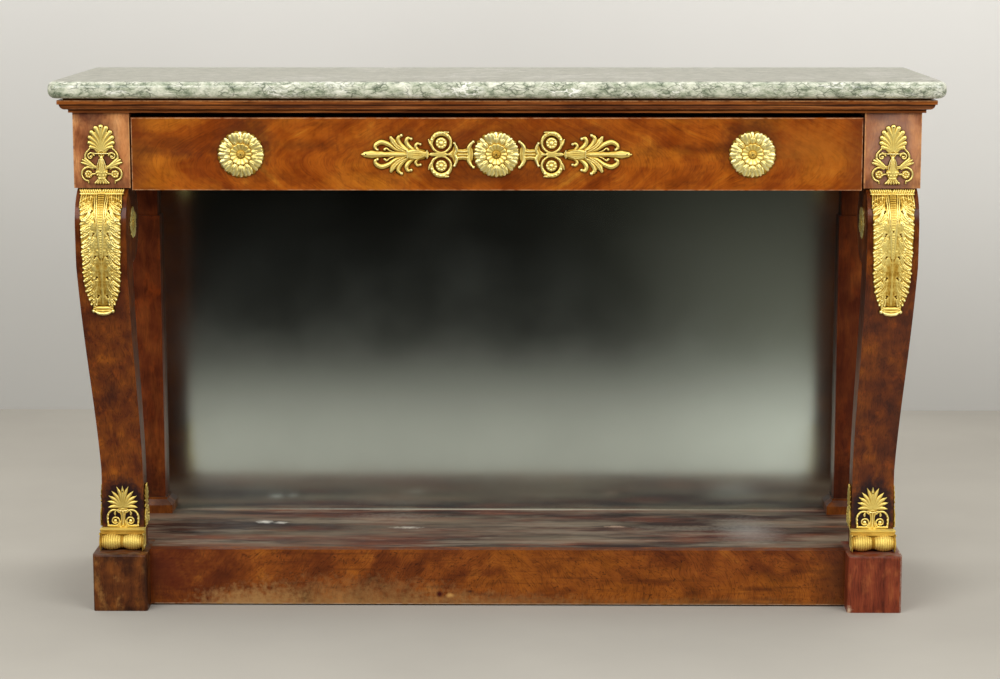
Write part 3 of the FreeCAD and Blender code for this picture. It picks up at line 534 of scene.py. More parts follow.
# Old mirror plate: tin-mercury backed glass, hazed and foxed, so reflections are grey-green and spotted.
def agedMirror(name, look):
    material, tree, shader, where = newMaterial(name)
    haze = add(tree, "TexNoise", {"Vector": where, "Scale": 1 / (look["haze"] * mm), "Detail": 4.0})
    rough = add(tree, "MapRange", (haze, 0.3, 0.7, *look["rough"]))
    fox = add(tree, "TexNoise", {"Vector": where, "Scale": 1 / (look["fox"] * mm), "Detail": 6.0,
                                 "Roughness": 0.7})
    fox = add(tree, "MapRange", (fox, 0.64, 0.8, 0.0, 0.6))
    colour = add(tree, "Mix", {"Factor": fox, "A": linear(look["silver"]), "B": linear(look["spots"])}, out=2,
                 data_type="RGBA")
    feed(tree, shader, {"Base Color": colour, "Roughness": rough, "Metallic": 1.0})
    return material


drawerLow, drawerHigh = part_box("drawer_front")
drawerLook = {
    "streak": (240, 54), "warp": (70, 13), "mottle": (46, 0.36), "pores": 0.34, "detail": 9.0,
    "feather": (0.775, 1.9, 30),
    "tones": [(0.30, "#521f04"), (0.74, "#c07c22"), (0.45, "#7f3806"), (0.57, "#9c4f0c")],
    "rough": (0.32, 0.48), "polish": 0.25,
    "patches": [
        ("#b96f1a", 0.6, (170, 90, 70), 0.50, 0.68),
        ("#4d1e05", 0.6, (120, 90, 46), 0.52, 0.70, (3, 1, 2)),
        ("#572406", 0.34, (6, 6, 24), 0.50, 0.72),
    ],
    # pale lines round the drawer front's edges: partly wear, partly painted highlight
    "rubbedAndGlinting": [(axis, getattr(corner, axis), 2.2) for axis in "xz" for corner in (drawerLow, drawerHigh)],
    "rubbedAndGlintTone": ("#c79a72", 0.75),
    "stains": [
        ("#4e2310", 0.5, (drawerLow.x, drawerLow.y, 0.79), (45, 60, 120)),
        ("#5a2a14", 0.5, (drawerHigh.x, drawerLow.y, 0.79), (40, 60, 120)),
        ("#4a2408", 0.5, (-0.32, drawerLow.y, 0.806), (120, 60, 17), 1.2),
        # dirt and old polish round the mounts, with the mounts' painted shadow on the wood
        ("#35140a", 0.6, (-0.425, drawerLow.y, 0.8035), (58, 30, 58), 0.5, 0.9),
        ("#35140a", 0.6, (0.425, drawerLow.y, 0.8035), (58, 30, 58), 0.5, 0.9),
        ("#4a1d08", 0.45, (0.0, drawerLow.y, 0.8035), (320, 30, 52), 0.7, 0.8),
        ("#4a2010", 0.5, (-0.53, drawerLow.y, 0.792), (70, 60, 15), 1.2),
        ("#4a1e06", 0.5, (0.0, drawerLow.y, 0.752), (300, 60, 26), 1.0),
        ("#a8661f", 0.45, (0.53, drawerLow.y, 0.80), (120, 60, 70), 1.0),
        ("#4a2208", 0.45, (0.36, drawerLow.y, 0.800), (110, 60, 16), 1.2),
    ],
}
footStains = []
for hand in hands:
    spot, low, high = middle("toe_palmette_" + hand)
    footStains.append(("#180b10", 0.9, (spot.x, high.y, spot.z - 0.004), (56, 40, 76), 0.6, 0.86, 1.12))
legLook = {
    "stains": footStains,
    "grain": "z", "streak": (170, 34), "warp": (50, 16), "mottle": (30, 0.5), "pores": 0.4,
    "tones": [(0.30, "#301206"), (0.72, "#94500f"), (0.46, "#562509"), (0.58, "#6f370c")],
    "rough": (0.3, 0.45), "polish": 0.45,
    "patches": [
        ("#8d430f", 0.55, (20, 20, 26), 0.56, 0.72),
        ("#33140a", 0.6, (44, 44, 150), 0.52, 0.68, (2, 0, 5)),
        ("#2c1006", 0.4, (5, 5, 20), 0.52, 0.74),
    ],
}
blockStains, blockEdges = [], []
for hand in hands:
    spot, low, high = middle("frieze_block_" + hand)
    # pale lines down the two edges of each block: partly wear, partly painted highlight
    blockEdges += [("x", low.x, 3.0), ("x", high.x, 2.0)]
    for aside, rise, size, share in ((0, 0.006, (60, 40, 14), 0.6), (0, 0.070, (34, 30, 62), 0.62),
                                     (-0.022, 0.126, (32, 30, 22), 0.7), (0.012, 0.140, (26, 30, 9), 0.5)):
        place = (spot.x + aside, low.y, low.z + rise)
        blockStains.append(("#48261f", share, place, size, 0.9, 0.8, 1.6))
    outer = low.x if hand == "left" else high.x
    blockStains.append(("#5c2f1a", 0.6, (outer, spot.y, spot.z), (5, 90, 160)))
    blockStains.append(("#c07c48", 0.55, (spot.x + 0.036, low.y, low.z + 0.07), (13, 30, 74), 1.0))
# a grey bloom on the right block only
blockStains.append(("#9c8076", 0.4, (spot.x, low.y, spot.z), (60, 30, 110)))
blockLook = {
    "stains": blockStains, "rubbedAndGlinting": blockEdges, "rubbedAndGlintTone": ("#d09a62", 0.6),
    "grain": "z", "streak": (140, 24), "warp": (60, 14), "mottle": (34, 0.6), "pores": 0.35,
    "tones": [(0.30, "#6a361c"), (0.72, "#dca36c"), (0.46, "#a0643c"), (0.58, "#bf8350")],
    "rough": (0.3, 0.45), "polish": 0.4,
    "patches": [
        ("#5f2b18", 0.55, (40, 40, 60), 0.52, 0.70),
        ("#5a2a12", 0.35, (4, 4, 26), 0.52, 0.74),
    ],
}
corniceLook = {
    "grain": "x", "streak": (220, 9), "warp": (160, 4), "mottle": (90, 0.25), "pores": 0.3,
    # pale lines on the fillets' edges: partly wear, partly painted highlight
    "rubbedAndGlinting": [("z", 0.8820, 1.8), ("z", 0.8676, 1.5)], "rubbedAndGlintTone": ("#d09a68", 0.6),
    "tones": [(0.32, "#3a170a"), (0.70, "#c67e42"), (0.48, "#7a4018"), (0.58, "#985828")],
    "rough": (0.3, 0.42), "polish": 0.4,
    "stains": [  # painted shade: dark lines in the two quirks of the moulding
        ("#230d06", 0.85, (0, 0, 0.8748), (3000, 3000, 1.5), 0.4),
        ("#230d06", 0.85, (0, 0, 0.8656), (3000, 3000, 1.4), 0.4),
    ],
    "patches": [
        ("#a05c22", 0.5, (190, 60, 40), 0.50, 0.64),
        ("#351506", 0.7, (90, 20, 5), 0.50, 0.66),
    ],
}
sideLook = {
    "grain": "y", "streak": (160, 16), "warp": (90, 8), "mottle": (70, 0.35), "pores": 0.3,
    "tones": [(0.30, "#41200f"), (0.72, "#94562b"), (0.46, "#66361a"), (0.58, "#7a4521")],
    "rough": (0.3, 0.45), "polish": 0.4,
}
railLow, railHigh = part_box("plinth_rail_front")
railLook = {
    "feather": (0.02, 1.1, 30),
    "streak": (200, 60), "warp": (70, 22), "mottle": (36, 0.42), "pores": 0.45, "detail": 9.0,
    "tones": [(0.30, "#3c1806"), (0.74, "#a8651e"), (0.46, "#662f0c"), (0.58, "#824313")],
    "rough": (0.36, 0.55), "polish": 0.25,
    "rubbedAndGlinting": [("z", railLow.z, 2.0)], "rubbedAndGlintTone": ("#b9a184", 0.5),
    "patches": [
        ("#a05a14", 0.45, (220, 60, 90), 0.48, 0.64),
        ("#4c1c06", 0.6, (90, 60, 26), 0.52, 0.70, (1, 0, 4)),
        ("#4a1f08", 0.5, (6, 6, 16), 0.52, 0.74),
        ("#2a1106", 0.75, (6, 6, 4), 0.61, 0.68),
        ("#3e1908", 0.45, (120, 60, 7), 0.52, 0.68, (5, 5, 5)),
    ],
    "stains": [
        ("#501c0a", 0.75, (railLow.x, railLow.y, 0.06), (220, 60, 130), 0.9),
        ("#43200f", 0.55, (railHigh.x, railLow.y, 0.05), (70, 60, 90)),
        ("#a27a4a", 0.7, (-0.43, railLow.y, 0.0), (130, 60, 46), 1.4, 0.9, 1.6),
        ("#9a7242", 0.6, (-0.26, railLow.y, 0.0), (230, 60, 52), 1.8, 1.0, 2.0),
        ("#946a3c", 0.55, (-0.03, railLow.y, 0.0), (230, 60, 26), 1.8, 1.0, 2.0),
        ("#885f30", 0.45, (0.34, railLow.y, 0.0), (300, 60, 16), 1.8, 1.0, 2.0),
        ("#3a0e08", 1.0, (-0.100, railLow.y, 0.021), (7, 20, 7), 0.5),
        ("#b98a4c", 0.9, (-0.082, railLow.y, 0.019), (9, 20, 5), 0.6),
        ("#33150a", 0.85, (-0.046, railLow.y, 0.026), (11, 20, 4), 0.9),
    ],
}
plinthLooks = {
    "left": {
        "grain": "z", "streak": (120, 26), "warp": (40, 12), "mottle": (26, 0.5), "pores": 0.35,
        "tones": [(0.30, "#2a1206"), (0.72, "#8e531c"), (0.46, "#52290f"), (0.58, "#6b3a14")],
        "rough": (0.4, 0.55), "polish": 0.2,
        "stains": [
            ("#1c0d08", 0.8, (-0.65, -0.1865, 0.098), (90, 14, 22), 1.2),
            ("#1f0f09", 0.7, (-0.70, -0.1865, 0.05), (8, 20, 90), 0.8),
            ("#1f0f09", 0.7, (-0.605, -0.1865, 0.05), (10, 20, 90), 0.8),
            ("#1f0f09", 0.6, (-0.65, -0.1865, 0.0), (90, 20, 12), 1.0),
        ],
        "patches": [
            ("#9a6a36", 0.6, (24, 24, 36), 0.55, 0.70),
            ("#241008", 0.6, (20, 20, 30), 0.52, 0.70, (4, 2, 1)),
        ],
        "dust": ("#6e6356", 0.6, (24, 24, 24), 0.42, 0.66),
    },
    "right": {
        "grain": "z", "streak": (140, 12), "warp": (60, 7), "mottle": (40, 0.36), "pores": 0.4,
        "tones": [(0.30, "#451a0d"), (0.72, "#97502b"), (0.46, "#6b2c19"), (0.58, "#7b371f")],
        "rough": (0.36, 0.5), "polish": 0.25,
        "rubbedAndGlinting": [("x", 0.697, 4.0)], "rubbedAndGlintTone": ("#b3a390", 0.7),
        "stains": [
            ("#cdb596", 0.9, (0.606, -0.1865, 0.004), (12, 14, 16), 1.4),
            ("#2a120b", 0.65, (0.65, -0.1865, 0.104), (90, 12, 18), 1.3),
        ],
        "patches": [
            ("#a05a30", 0.5, (26, 26, 40), 0.55, 0.72),
            ("#3a140a", 0.5, (20, 20, 40), 0.54, 0.72, (4, 2, 1)),
        ],
        "dust": ("#75695c", 0.6, (24, 24, 24), 0.42, 0.66),
    },
}
shaftStains = [("#34120a", 0.45, (0.62, 0.15, 0.40), (110, 110, 420))]
for hand in hands:
    spot, low, high = middle("pilaster_shaft_" + hand)
    shaftStains.append(("#170a06", 0.8, (spot.x, low.y, low.z), (70, 60, 120), 1.3, 0.6, 1.6))
pilasterLook = {
    "stains": shaftStains,
    "grain": "z", "streak": (150, 22), "warp": (80, 12), "mottle": (48, 0.5), "pores": 0.3,
    "tones": [(0.30, "#34130a"), (0.72, "#964f1c"), (0.46, "#5a2710"), (0.58, "#703714")],
    "rough": (0.28, 0.42), "polish": 0.5,
    "patches": [
        ("#873a0f", 0.5, (26, 26, 40), 0.56, 0.72),
        ("#2e1008", 0.5, (30, 30, 120), 0.52, 0.70, (2, 5, 1)),
    ],
}
baseLook = dict(pilasterLook, stains=[],
                tones=[(0.30, "#40190a"), (0.72, "#9a5a22"), (0.46, "#60300f"), (0.58, "#764014")],
                # the upward faces of the base's mouldings are turned a dark brown
                dust=("#342b25", 0.95, (30, 20, 30), 0.3, 0.6))
platformLook = {
    "grain": "x", "streak": (420, 16), "warp": (160, 8), "mottle": (70, 0.3), "pores": 0.4,
    "tones": [(0.28, "#2a1009"), (0.74, "#90532f"), (0.46, "#532818"), (0.58, "#6c3a24")],
    "rough": (0.42, 0.6), "polish": 0.15,
    "dust": ("#93836c", 0.48, (220, 64, 30), 0.43, 0.66),
    "patches": [
        ("#1c120d", 0.75, (330, 80, 30), 0.49, 0.60, (7, 2, 0)),
        ("#190f0b", 0.8, (260, 46, 30), 0.50, 0.62, (0, 0, 0), 6.0),
        ("#a89881", 0.45, (210, 44, 30), 0.52, 0.66, (3, 1, 0), 6.0),
        ("#b5aa98", 0.4, (110, 6, 30), 0.61, 0.70, (1, 6, 0), 5.0),
    ],
    "stains": [
        ("#e4ded2", 1.0, (-0.425, 0.062, 0.1), (24, 18, 9), 1.0),
        ("#dcd6ca", 0.95, (-0.395, 0.056, 0.1), (18, 14, 9), 1.0),
        ("#d4ccbd", 0.95, (-0.165, 0.020, 0.1), (52, 16, 9), 1.3),
        ("#cda88c", 0.85, (0.21, 0.03, 0.1), (34, 14, 9), 1.2),
        ("#a8a299", 0.5, (0.45, 0.0, 0.1), (60, 110, 9), 0.9, 0.6, 1.6),
        ("#b8ad9a", 0.85, (0.0, 0.167, 0.1), (620, 7, 9), 0.5),
        ("#8f8576", 0.5, (-0.19, 0.11, 0.1), (170, 40, 9), 1.3),
        ("#8a8071", 0.5, (0.34, 0.02, 0.1), (200, 34, 9), 1.3),
    ],
}
carcaseLook = {
    "grain": "x", "streak": (300, 7), "grime": "#3b2818",
    "tones": [(0.32, "#6a4a2b"), (0.68, "#a8835a"), (0.5, "#8b673f")],
}
marbleLook = {
    "stir": (22, 8), "stretch": (0.5, 1.0, 1.25), "clouds": 11, "rough": (0.2, 0.42),
    "sheen": ("#746e64", 0.7),
    "tones": [(0.30, "#6f7963"), (0.72, "#e2e0cf"), (0.43, "#a9ae96"), (0.55, "#c8c9b4")],
    "seams": [
        ("#36412f", 0.8, 9.5, 0.11, 24, 0.42, 0.56),
        ("#47523d", 0.7, 4.2, 0.17, 14, 0.46, 0.60),
        ("#55604b", 0.4, 2.6, 0.22, 30, 0.48, 0.62),
    ],
    "veins": ("#f6f4ea", 0.95, 60, 160),
}
giltLook = {
    "cloud": 30, "uneven": 0.4, "rough": (0.62, 0.44), "punch": 0.25,
    "tones": [(0.08, "#523808"), (0.9, "#fbefac"), (0.34, "#c39a3c"), (0.5, "#ead174"), (0.68, "#f4df86")],
}
mirrorLook = {"haze": 160, "rough": (0.12, 0.17), "fox": 14, "silver": "#c6d0cb", "spots": "#4c4a40"}

gilt = giltBronze("gilt bronze, cast and chased", giltLook)
wornGilt = giltBronze("gilt bronze, cast and worn matt", dict(giltLook, rough=(0.8, 0.62)))
print("materials for the mounts made")

moulding = mahogany("mahogany moulding, run and polished", corniceLook)
bareWood = carcaseWood("oak and pine carcase, sawn and bare", carcaseLook)
finishes = {
    "marble_top": veinedMarble("sea green marble, polished", marbleLook),
    "mirror_glass": agedMirror("mirror plate, tin backed and foxed", mirrorLook),
    "platform_board": mahogany("mahogany platform, dusty", platformLook),
    "plinth_rail_front": mahogany("mahogany plinth veneer, rubbed", railLook),
    "drawer_front": mahogany("mahogany crotch veneer, french polished", drawerLook),
    "cornice_front": moulding,
    "frieze_top_rail": moulding,
}
paired = {  # finishes of the pieces that come in a left and a right
    "frieze_block_": mahogany("mahogany block veneer, french polished", blockLook),
    "scroll_leg_": mahogany("mahogany leg veneer, french polished", legLook),
    "cornice_": moulding,
    "frieze_side_": mahogany("mahogany side veneer, french polished", sideLook),
    "pilaster_shaft_": mahogany("mahogany pilaster veneer, french polished", pilasterLook),
    "pilaster_base_": mahogany("mahogany pilaster base, dusty", baseLook),
}
paired["plinth_side_"] = paired["frieze_side_"]
paired["pilaster_neck_"] = paired["pilaster_shaft_"]
for hand in hands:
    finishes["plinth_block_" + hand] = mahogany("mahogany plinth block, worn " + hand, plinthLooks[hand])
    for start, finish in paired.items():
        finishes[start + hand] = finish
slots = {row["node"]: row["material_slot"] for row in frame["record"]["subparts"]}
for name, node in nodes.items():
    finish = finishes.get(name) or (bareWood if slots[name] == "carcase_wood" else gilt)
    for place in node.material_slots:
        place.material = finish
print("finishes put on", len(nodes), "nodes")


def placeMount(piece, body, node, finish=gilt):
    piece.data.materials.clear()
    piece.data.materials.append(finish)
    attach(piece, body)
    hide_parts(node)


# Rosettes: rings of petals round a turned body, grown by Geometry Nodes

rosetteLook = {  # sizes for a rosette of 40 mm radius and 8 mm thickness
    "radius": 40, "thickness": 8, "voluteThickness": 4,
    "body": [(0, 4.8, 0, 0.42), (4, 4.6, 0, 0.40), (6.2, 4.0, 0, 0.34), (7.2, 3.3, 0, 0.20),
             (8.4, 3.4, 0.1, 0.48), (11, 4.2, 0.35, 0.56), (14, 5.1, 0.5, 0.60), (16.2, 6.0, 0.5, 0.62),
             (17.3, 5.9, 0.4, 0.54), (18.2, 4.8, 0.2, 0.32), (18.9, 3.2, 0, 0.28), (24, 3.0, 0, 0.34),
             (32, 2.4, 0, 0.32), (36, 1.2), (37.2, 0.0), (0, 0.0)],
    "cupPetals": 14, "segments": 96,
    "rings": {  # how many, where their roots stand, and the petal's shape
        # the under ring's low tone is painted shade: the backing petals showing between the outer ones are
        # dark
        "under": {"count": 16, "root": 20, "height": 0.2, "turn": 0.5, "length": 19.9, "width": 13.0,
                  "arch": 2.0, "lift": 0.8, "ridges": 0.2, "fingers": 1, "tone": 0.22, "tilt": 0.04},
        "outer": {"count": 16, "root": 18.0, "height": 2.0, "turn": 0.0, "length": 21.0, "width": 20.4,
                  "arch": 2.6, "lift": 0.2, "ridges": 0.9, "fingers": 3, "tone": 0.64, "tilt": 0.15},
        "inner": {"count": 14, "root": 17.4, "height": 3.4, "turn": 0.5, "length": 12.4, "width": 10.2,
                  "arch": 1.9, "lift": 0.4, "ridges": 0.8, "fingers": 3, "tone": 0.63, "tilt": 0.16},
        "seed": {"count": 7, "root": 3.0, "height": 4.4, "turn": 0.0, "length": 2.8, "width": 2.8,
                 "arch": 1.1, "lift": 0.0, "ridges": 0.0, "fingers": 1, "tone": 0.44, "tilt": 0.0},
    },
    "rows": 8, "columns": 16, "wall": 1.2, "weld": 0.01,
}
ringInputs = {"count": "Int", "root": "Float", "height": "Float", "turn": "Float", "tilt": "Float",
              "petal": "Object"}


# one petal along +X in millimetres: a runs from its root to its tip and b across it
def petalMesh(name, size):
    rows, columns, wall = (rosetteLook[k] for k in ("rows", "columns", "wall"))
    lobed = size["fingers"] > 1
    points, tones = [], []
    for level in (0, 1):  # the face, then the back
        for i in range(rows + 1):
            a = i / rows
            swell = 0.46 + 0.54 * math.sin(math.pi * min(0.06 + 0.56 * a, 0.5))
            for j in range(columns + 1):
                b = 2 * j / columns - 1
                finger = abs(math.cos(0.5 * math.pi * size["fingers"] * b))  # 1 on a finger, 0 between two
                pit = abs(b) ** 8 * math.exp(-((a - 0.45) / 0.16) ** 2) * lobed
                reach = a * size["length"] * (1 - 0.20 * b * b - 0.09 * a * (1 - finger) * lobed)
                z = size["arch"] * math.sin(math.pi * (0.08 + 0.80 * a)) + size["lift"] * a - 1.5 * b * b
                z += size["ridges"] * ((finger - 0.5) * (0.3 + 0.7 * a) + 0.5 * a ** 6) - 0.9 * pit
                points.append((reach, b * size["width"] / 2 * swell, z - level * wall))
                tone = size["tone"] + (0.26 * (finger - 0.5) + 0.14 * a - 0.2 * b ** 6) * lobed - 0.5 * pit
                tones.append(0.15 if level else tone)
    across = columns + 1
    layer = (rows + 1) * across
    faces = []
    for i in range(rows):
        for j in range(columns):
            k = i * across + j
            faces.append((k, k + across, k + across + 1, k + 1))
            faces.append((layer + k, layer + k + 1, layer + k + across + 1, layer + k + across))
    edge = [i * across for i in range(rows + 1)] + [rows * across + j for j in range(1, columns + 1)]
    edge += [i * across + columns for i in range(rows - 1, -1, -1)] + list(range(columns - 1, 0, -1))
    for k, m in zip(edge, edge[1:] + edge[:1]):
        faces.append((k, layer + k, layer + m, m))
    return newMesh(name, points, faces, tones, rosetteLook["weld"])


def rosetteTree():
    inputs = [("Body", "Object"), ("Finish", "Material")]
    for ring in rosetteLook["rings"]:
        inputs += [(ring + " " + key, kind) for key, kind in ringInputs.items()]
    tree, given = newTree("rosette", inputs)
    parts = [add(tree, "GeometryNodeObjectInfo", {"Object": given["Body"]}, out="Geometry")]
    for ring in rosetteLook["rings"]:
        count, root, height, turn, tilt, petal = (given[ring + " " + key] for key in ringInputs)
        place = add(tree, "Math", (add(tree, "GeometryNodeInputIndex"), turn))
        place = add(tree, "Math", (place, count), operation="DIVIDE")
        angle = add(tree, "Math", (place, 2 * math.pi), operation="MULTIPLY")
        cosine = add(tree, "Math", (angle,), operation="COSINE")
        sine = add(tree, "Math", (angle,), operation="SINE")
        x = add(tree, "Math", (cosine, root), operation="MULTIPLY")
        y = add(tree, "Math", (sine, root), operation="MULTIPLY")
        spot = add(tree, "CombineXYZ", (x, y, height))
        points = add(tree, "GeometryNodePoints", {"Count": count, "Position": spot})
        # each petal leans and twists a little by chance, with a fixed seed
        chance = add(tree, "FunctionNodeRandomValue", {0: (-1.0, -1.0, -0.4), 1: (1.0, 1.0, 0.4), "Seed": 5},
                     data_type="FLOAT_VECTOR")
        chance = add(tree, "VectorMath", {0: chance, "Scale": tilt}, operation="SCALE")
        lean = add(tree, "VectorMath", (add(tree, "CombineXYZ", {2: angle}), chance))
        petal = add(tree, "GeometryNodeObjectInfo", {"Object": petal}, out="Geometry")
        parts.append(add(tree, "GeometryNodeInstanceOnPoints",
                         {"Points": points, "Instance": petal, "Rotation": lean}))
    endTree(tree, parts, given["Finish"])
    return tree


petalTree = rosetteTree()
petals = {ring: newObject("petal " + ring, petalMesh("petal " + ring, size))
          for ring, size in rosetteLook["rings"].items()}
rosetteBody = newObject("rosette body", turned("rosette body", rosetteLook["body"], rosetteLook["segments"],
                                               rosetteLook["cupPetals"]))


# a rosette mesh of the given radius and thickness, facing the given direction
def rosetteMesh(name, centre, facing, radius, thickness):
    values = {"Body": rosetteBody, "Finish": gilt}
    for ring, size in rosetteLook["rings"].items():
        values.update({ring + " " + key: float(size[key]) for key in ("root", "height", "turn", "tilt")})
        values.update({ring + " count": size["count"], ring + " petal": petals[ring]})
    mesh = grown(name, petalTree, values)
    flat, tall = radius / rosetteLook["radius"], thickness / rosetteLook["thickness"]
    turn = Vector((0, 0, 1)).rotation_difference(Vector(facing)).to_matrix().to_4x4()
    mesh.transform(Matrix.Translation(centre) @ turn @ Matrix.Diagonal((flat, flat, tall, 1)))
    return mesh


for hand in hands:
    node = "drawer_rosette_" + hand
    centre, low, high = middle(node)
    seat = Vector((centre.x, high.y, centre.z))
    mesh = rosetteMesh(node, seat, (0, -1, 0), (high.x - low.x) / 2, high.y - low.y)
    placeMount(newObject("drawerRosette_" + hand, mesh), "drawer", node)
    node = "volute_rosettes_" + hand
    centre, low, high = middle(node)
    thick = rosetteLook["voluteThickness"] * mm
    meshes = []
    for way, edge in ((-1, low.x), (1, high.x)):
        seat = Vector((edge - way * thick, centre.y, centre.z))
        meshes.append(rosetteMesh(node, seat, (way, 0, 0), (high.y - low.y) / 2, thick))
    placeMount(joined("voluteRosettes_" + hand, meshes), "table", node)
print("rosettes grown")


# Long drawer mount: roundels, horned links and a spray of plumes to each side, pierced between the members

centreLook = {
    "step": 0.65, "reach": 232, "half": 46, "flower": 39.5,
    "bud": [(150, 0), (170, 0), (188, 0), (198, 0), (210, 0), (220, 0), (227.5, 0)],
    "budHalf": [6.2, 5.6, 5.0, 6.6, 7.6, 5.6, 0.8],
    "roundel": {"x": 92.4, "z": 18.9, "ring": 15.8, "button": 10.6},
    "link": [(38, 0), (39.0, 8.5), (40.4, 12.4), (39.6, 16.6), (36.8, 20.8), (38.6, 23.0), (43.4, 19.8),
             (46.0, 15.0), (49.8, 11.0), (56.5, 9.2), (62.5, 10.2), (66.6, 13.6), (68.6, 18.8), (72.4, 18.8),
             (72.8, 13), (74.6, 7), (79, 3.6), (83, 2.2), (83, 0)],
    "crescents": [  # each leaf is a path and its half widths along it
        ([(38.6, 21.4), (43.0, 17.2), (46.2, 11.4), (46.4, 5.0), (45.6, 0)], [2.3, 3.4, 4.2, 4.0, 4.0]),
        ([(70.4, 18.8), (68.0, 13.8), (66.6, 8.0), (68.4, 3.2), (69.6, 0)], [2.0, 3.0, 3.6, 3.4, 3.4]),
    ],
    "calyx": [(112, 3.4), (114, 6.4), (118, 6.4), (121, 5.6), (128, 7.6), (137, 9.8), (145, 8.8),
              (150.5, 6.2), (150.5, 0)],
    "curls": [  # leaves that rise from the calyx and curl back
        ([(121, 4.6), (131, 7.4), (135.4, 13.4), (132.6, 18.2), (127.4, 17.2)], [3.6, 3.3, 3.0, 2.7, 2.4]),
        ([(135.5, 6.2), (145.4, 12.2), (150.8, 20.4), (148.6, 27), (142.8, 26.2)], [3, 3.8, 4, 3.4, 2.8]),
        ([(144, 5.2), (155, 10.6), (162.8, 19.4), (164.6, 27.6), (159.2, 32.0)], [3.0, 3.9, 4.4, 3.9, 3.1]),
    ],
    "plume": ([(149, 4.2), (164, 11.8), (172.4, 20.6), (177.2, 28.6)], [2.4, 4.6, 5.8, 2.6]),
    "hook": ([(149, 3.2), (166.8, 7.8), (179.8, 16.4), (192.4, 20.6), (201.6, 16.4), (203.2, 11.0),
              (199.4, 8.2)], [2.2, 3.4, 4.0, 4.6, 4.0, 3.0, 2.2]),
    "bell": ([(172, 4.0), (179, 6.6), (184, 10.2), (187.5, 8.2)], [1.3, 1.5, 1.9, 2.6]),
    "wornFrom": 112, "worn": 0.05,
}


def doubled(outline):
    return list(outline) + [(x, -z) for x, z in reversed(outline)]


def centreSheet():
    look = centreLook
    sheet = newSheet(look["reach"] + 2, 0, look["half"], look["step"])
    curve(sheet, *look["bell"], [2.8])
    for path, half in [look["hook"], look["plume"]] + look["curls"][::-1]:
        line = throughPoints(path)
        lay(sheet, line, [1.12 * w for w in half], [2.4, 3.0, 3.4])
        lay(sheet, line[4:], [0.5, 1.1, 1.1, 0.6], [3.6, 3.9, 4.1], "round", 0.4)
    for path, half in look["curls"] + [look["hook"]]:  # each curl ends in a small boss
        dot(sheet, throughPoints(path)[-1], half[-1] + 0.5, 4.6)
    for side in (-2.6, 2.4):  # ribs on the straight plume
        rib = [(x + side * 0.6, z - side * 0.5) for x, z in look["plume"][0]]
        curve(sheet, rib, [0.5, 0.9, 0.9, 0.3], [4.4], "round", 0.4)
    lay(sheet, look["bud"], look["budHalf"], [3.4, 3.0, 2.8, 3.2, 3.6, 3.0])
    lay(sheet, [(150, 0), (222, 0)], [1.0, 0.8], [4.2], "ridge")  # the lance's spine
    plate(sheet, doubled(look["calyx"]), 4.0, 3.8)
    for turn in (0, 3.4, 6.6):  # ribs on the calyx
        rib = [(121, turn * 0.55), (134, turn), (147, turn * 0.62)]
        curve(sheet, rib, [0.4, 1.0, 0.4], [4.4, 4.8, 4.2], "round", 0.5)
    lay(sheet, [(116.2, 0), (116.2, 6.2)], [1.6], [4.6])
    lay(sheet, [(149.4, 0), (149.4, 5.6)], [1.4], [4.6])
    # roundels: a leafy ring, thick on its outer side, round a flower button
    ball = look["roundel"]
    eye, ring = (ball["x"], ball["z"]), ball["ring"]
    lay(sheet, arcPath(eye, ring, ring, -90, 270, 60), [2.3], [3.0])
    lay(sheet, arcPath(eye, ring + 0.4, ring + 0.8, 215, -45, 50), [2.2, 3.2, 4.6, 4.8, 3.8, 2.2], [3.2])
    for turn in range(20, 150, 22):  # overlapping leaf tips on the ring
        dot(sheet, arcPath(eye, ring + 1.2, 0, turn, turn, 1)[0], 3.0, 3.9)
    for start, end, reach in ((98, 124, 23.4), (-12, 16, 23.6)):
        lay(sheet, arcPath(eye, ring + 1.5, reach - 1.6, start, end, 10), [2.6, 2.4, 1.6], [3.6])
    dot(sheet, eye, ball["button"], 3.4, "flat")
    for k in range(9):
        dot(sheet, arcPath(eye, 7.0, 0, 40 * k + 15, 0, 1)[0], 2.9, 4.2)
    dot(sheet, eye, 5.2, 4.6)
    dot(sheet, eye, 2.2, 5.4)
    lay(sheet, [(86, 0), (109, 0)], [3.4], [3.0], "flat")
    lay(sheet, [(76, 0), (81, 0), (86, 0)], [1.8, 3.4, 1.8], [3.6], "ridge")
    lay(sheet, [(106, 0), (110, 0), (113, 0)], [2.0, 3.8, 3.0], [3.6], "ridge")
    # link between the rosette and the roundels, with four horns that end in small balls
    plate(sheet, doubled(look["link"]), 2.6, 2.4)
    for path, half in look["crescents"]:
        curve(sheet, path, half, [4.4, 4.0, 3.4])
        dot(sheet, path[0], half[0] + 1.0, 4.8)
    for level in (0, 5.6):  # reeds along the waist
        lay(sheet, [(48, level), (56, 0.8 * level), (64, level)], [2.1, 1.7, 1.9], [3.6])
    sheet["shade"] -= look["worn"] * (sheet["x"] > look["wornFrom"])  # the sprays are worn most
    return sheet


centre, low, high = middle("drawer_centre_mount")
seatY, axisZ = high.y, centre.z
relief = cast("drawer centre mount", centreSheet(),
              lambda x, z, h: (centre.x + x * mm, seatY - h * mm, axisZ + z * mm), mirrorUp=True)
flower = rosetteMesh("drawer centre mount", Vector((centre.x, seatY, axisZ)), (0, -1, 0),
                     centreLook["flower"] * mm, high.y - low.y)
placeMount(joined("drawerCentreMount", [relief, flower]), "drawer", "drawer_centre_mount")
print("drawer mount cast")


# Palmette on the corner block: a shell fan over a vase with two pairs of scrolls

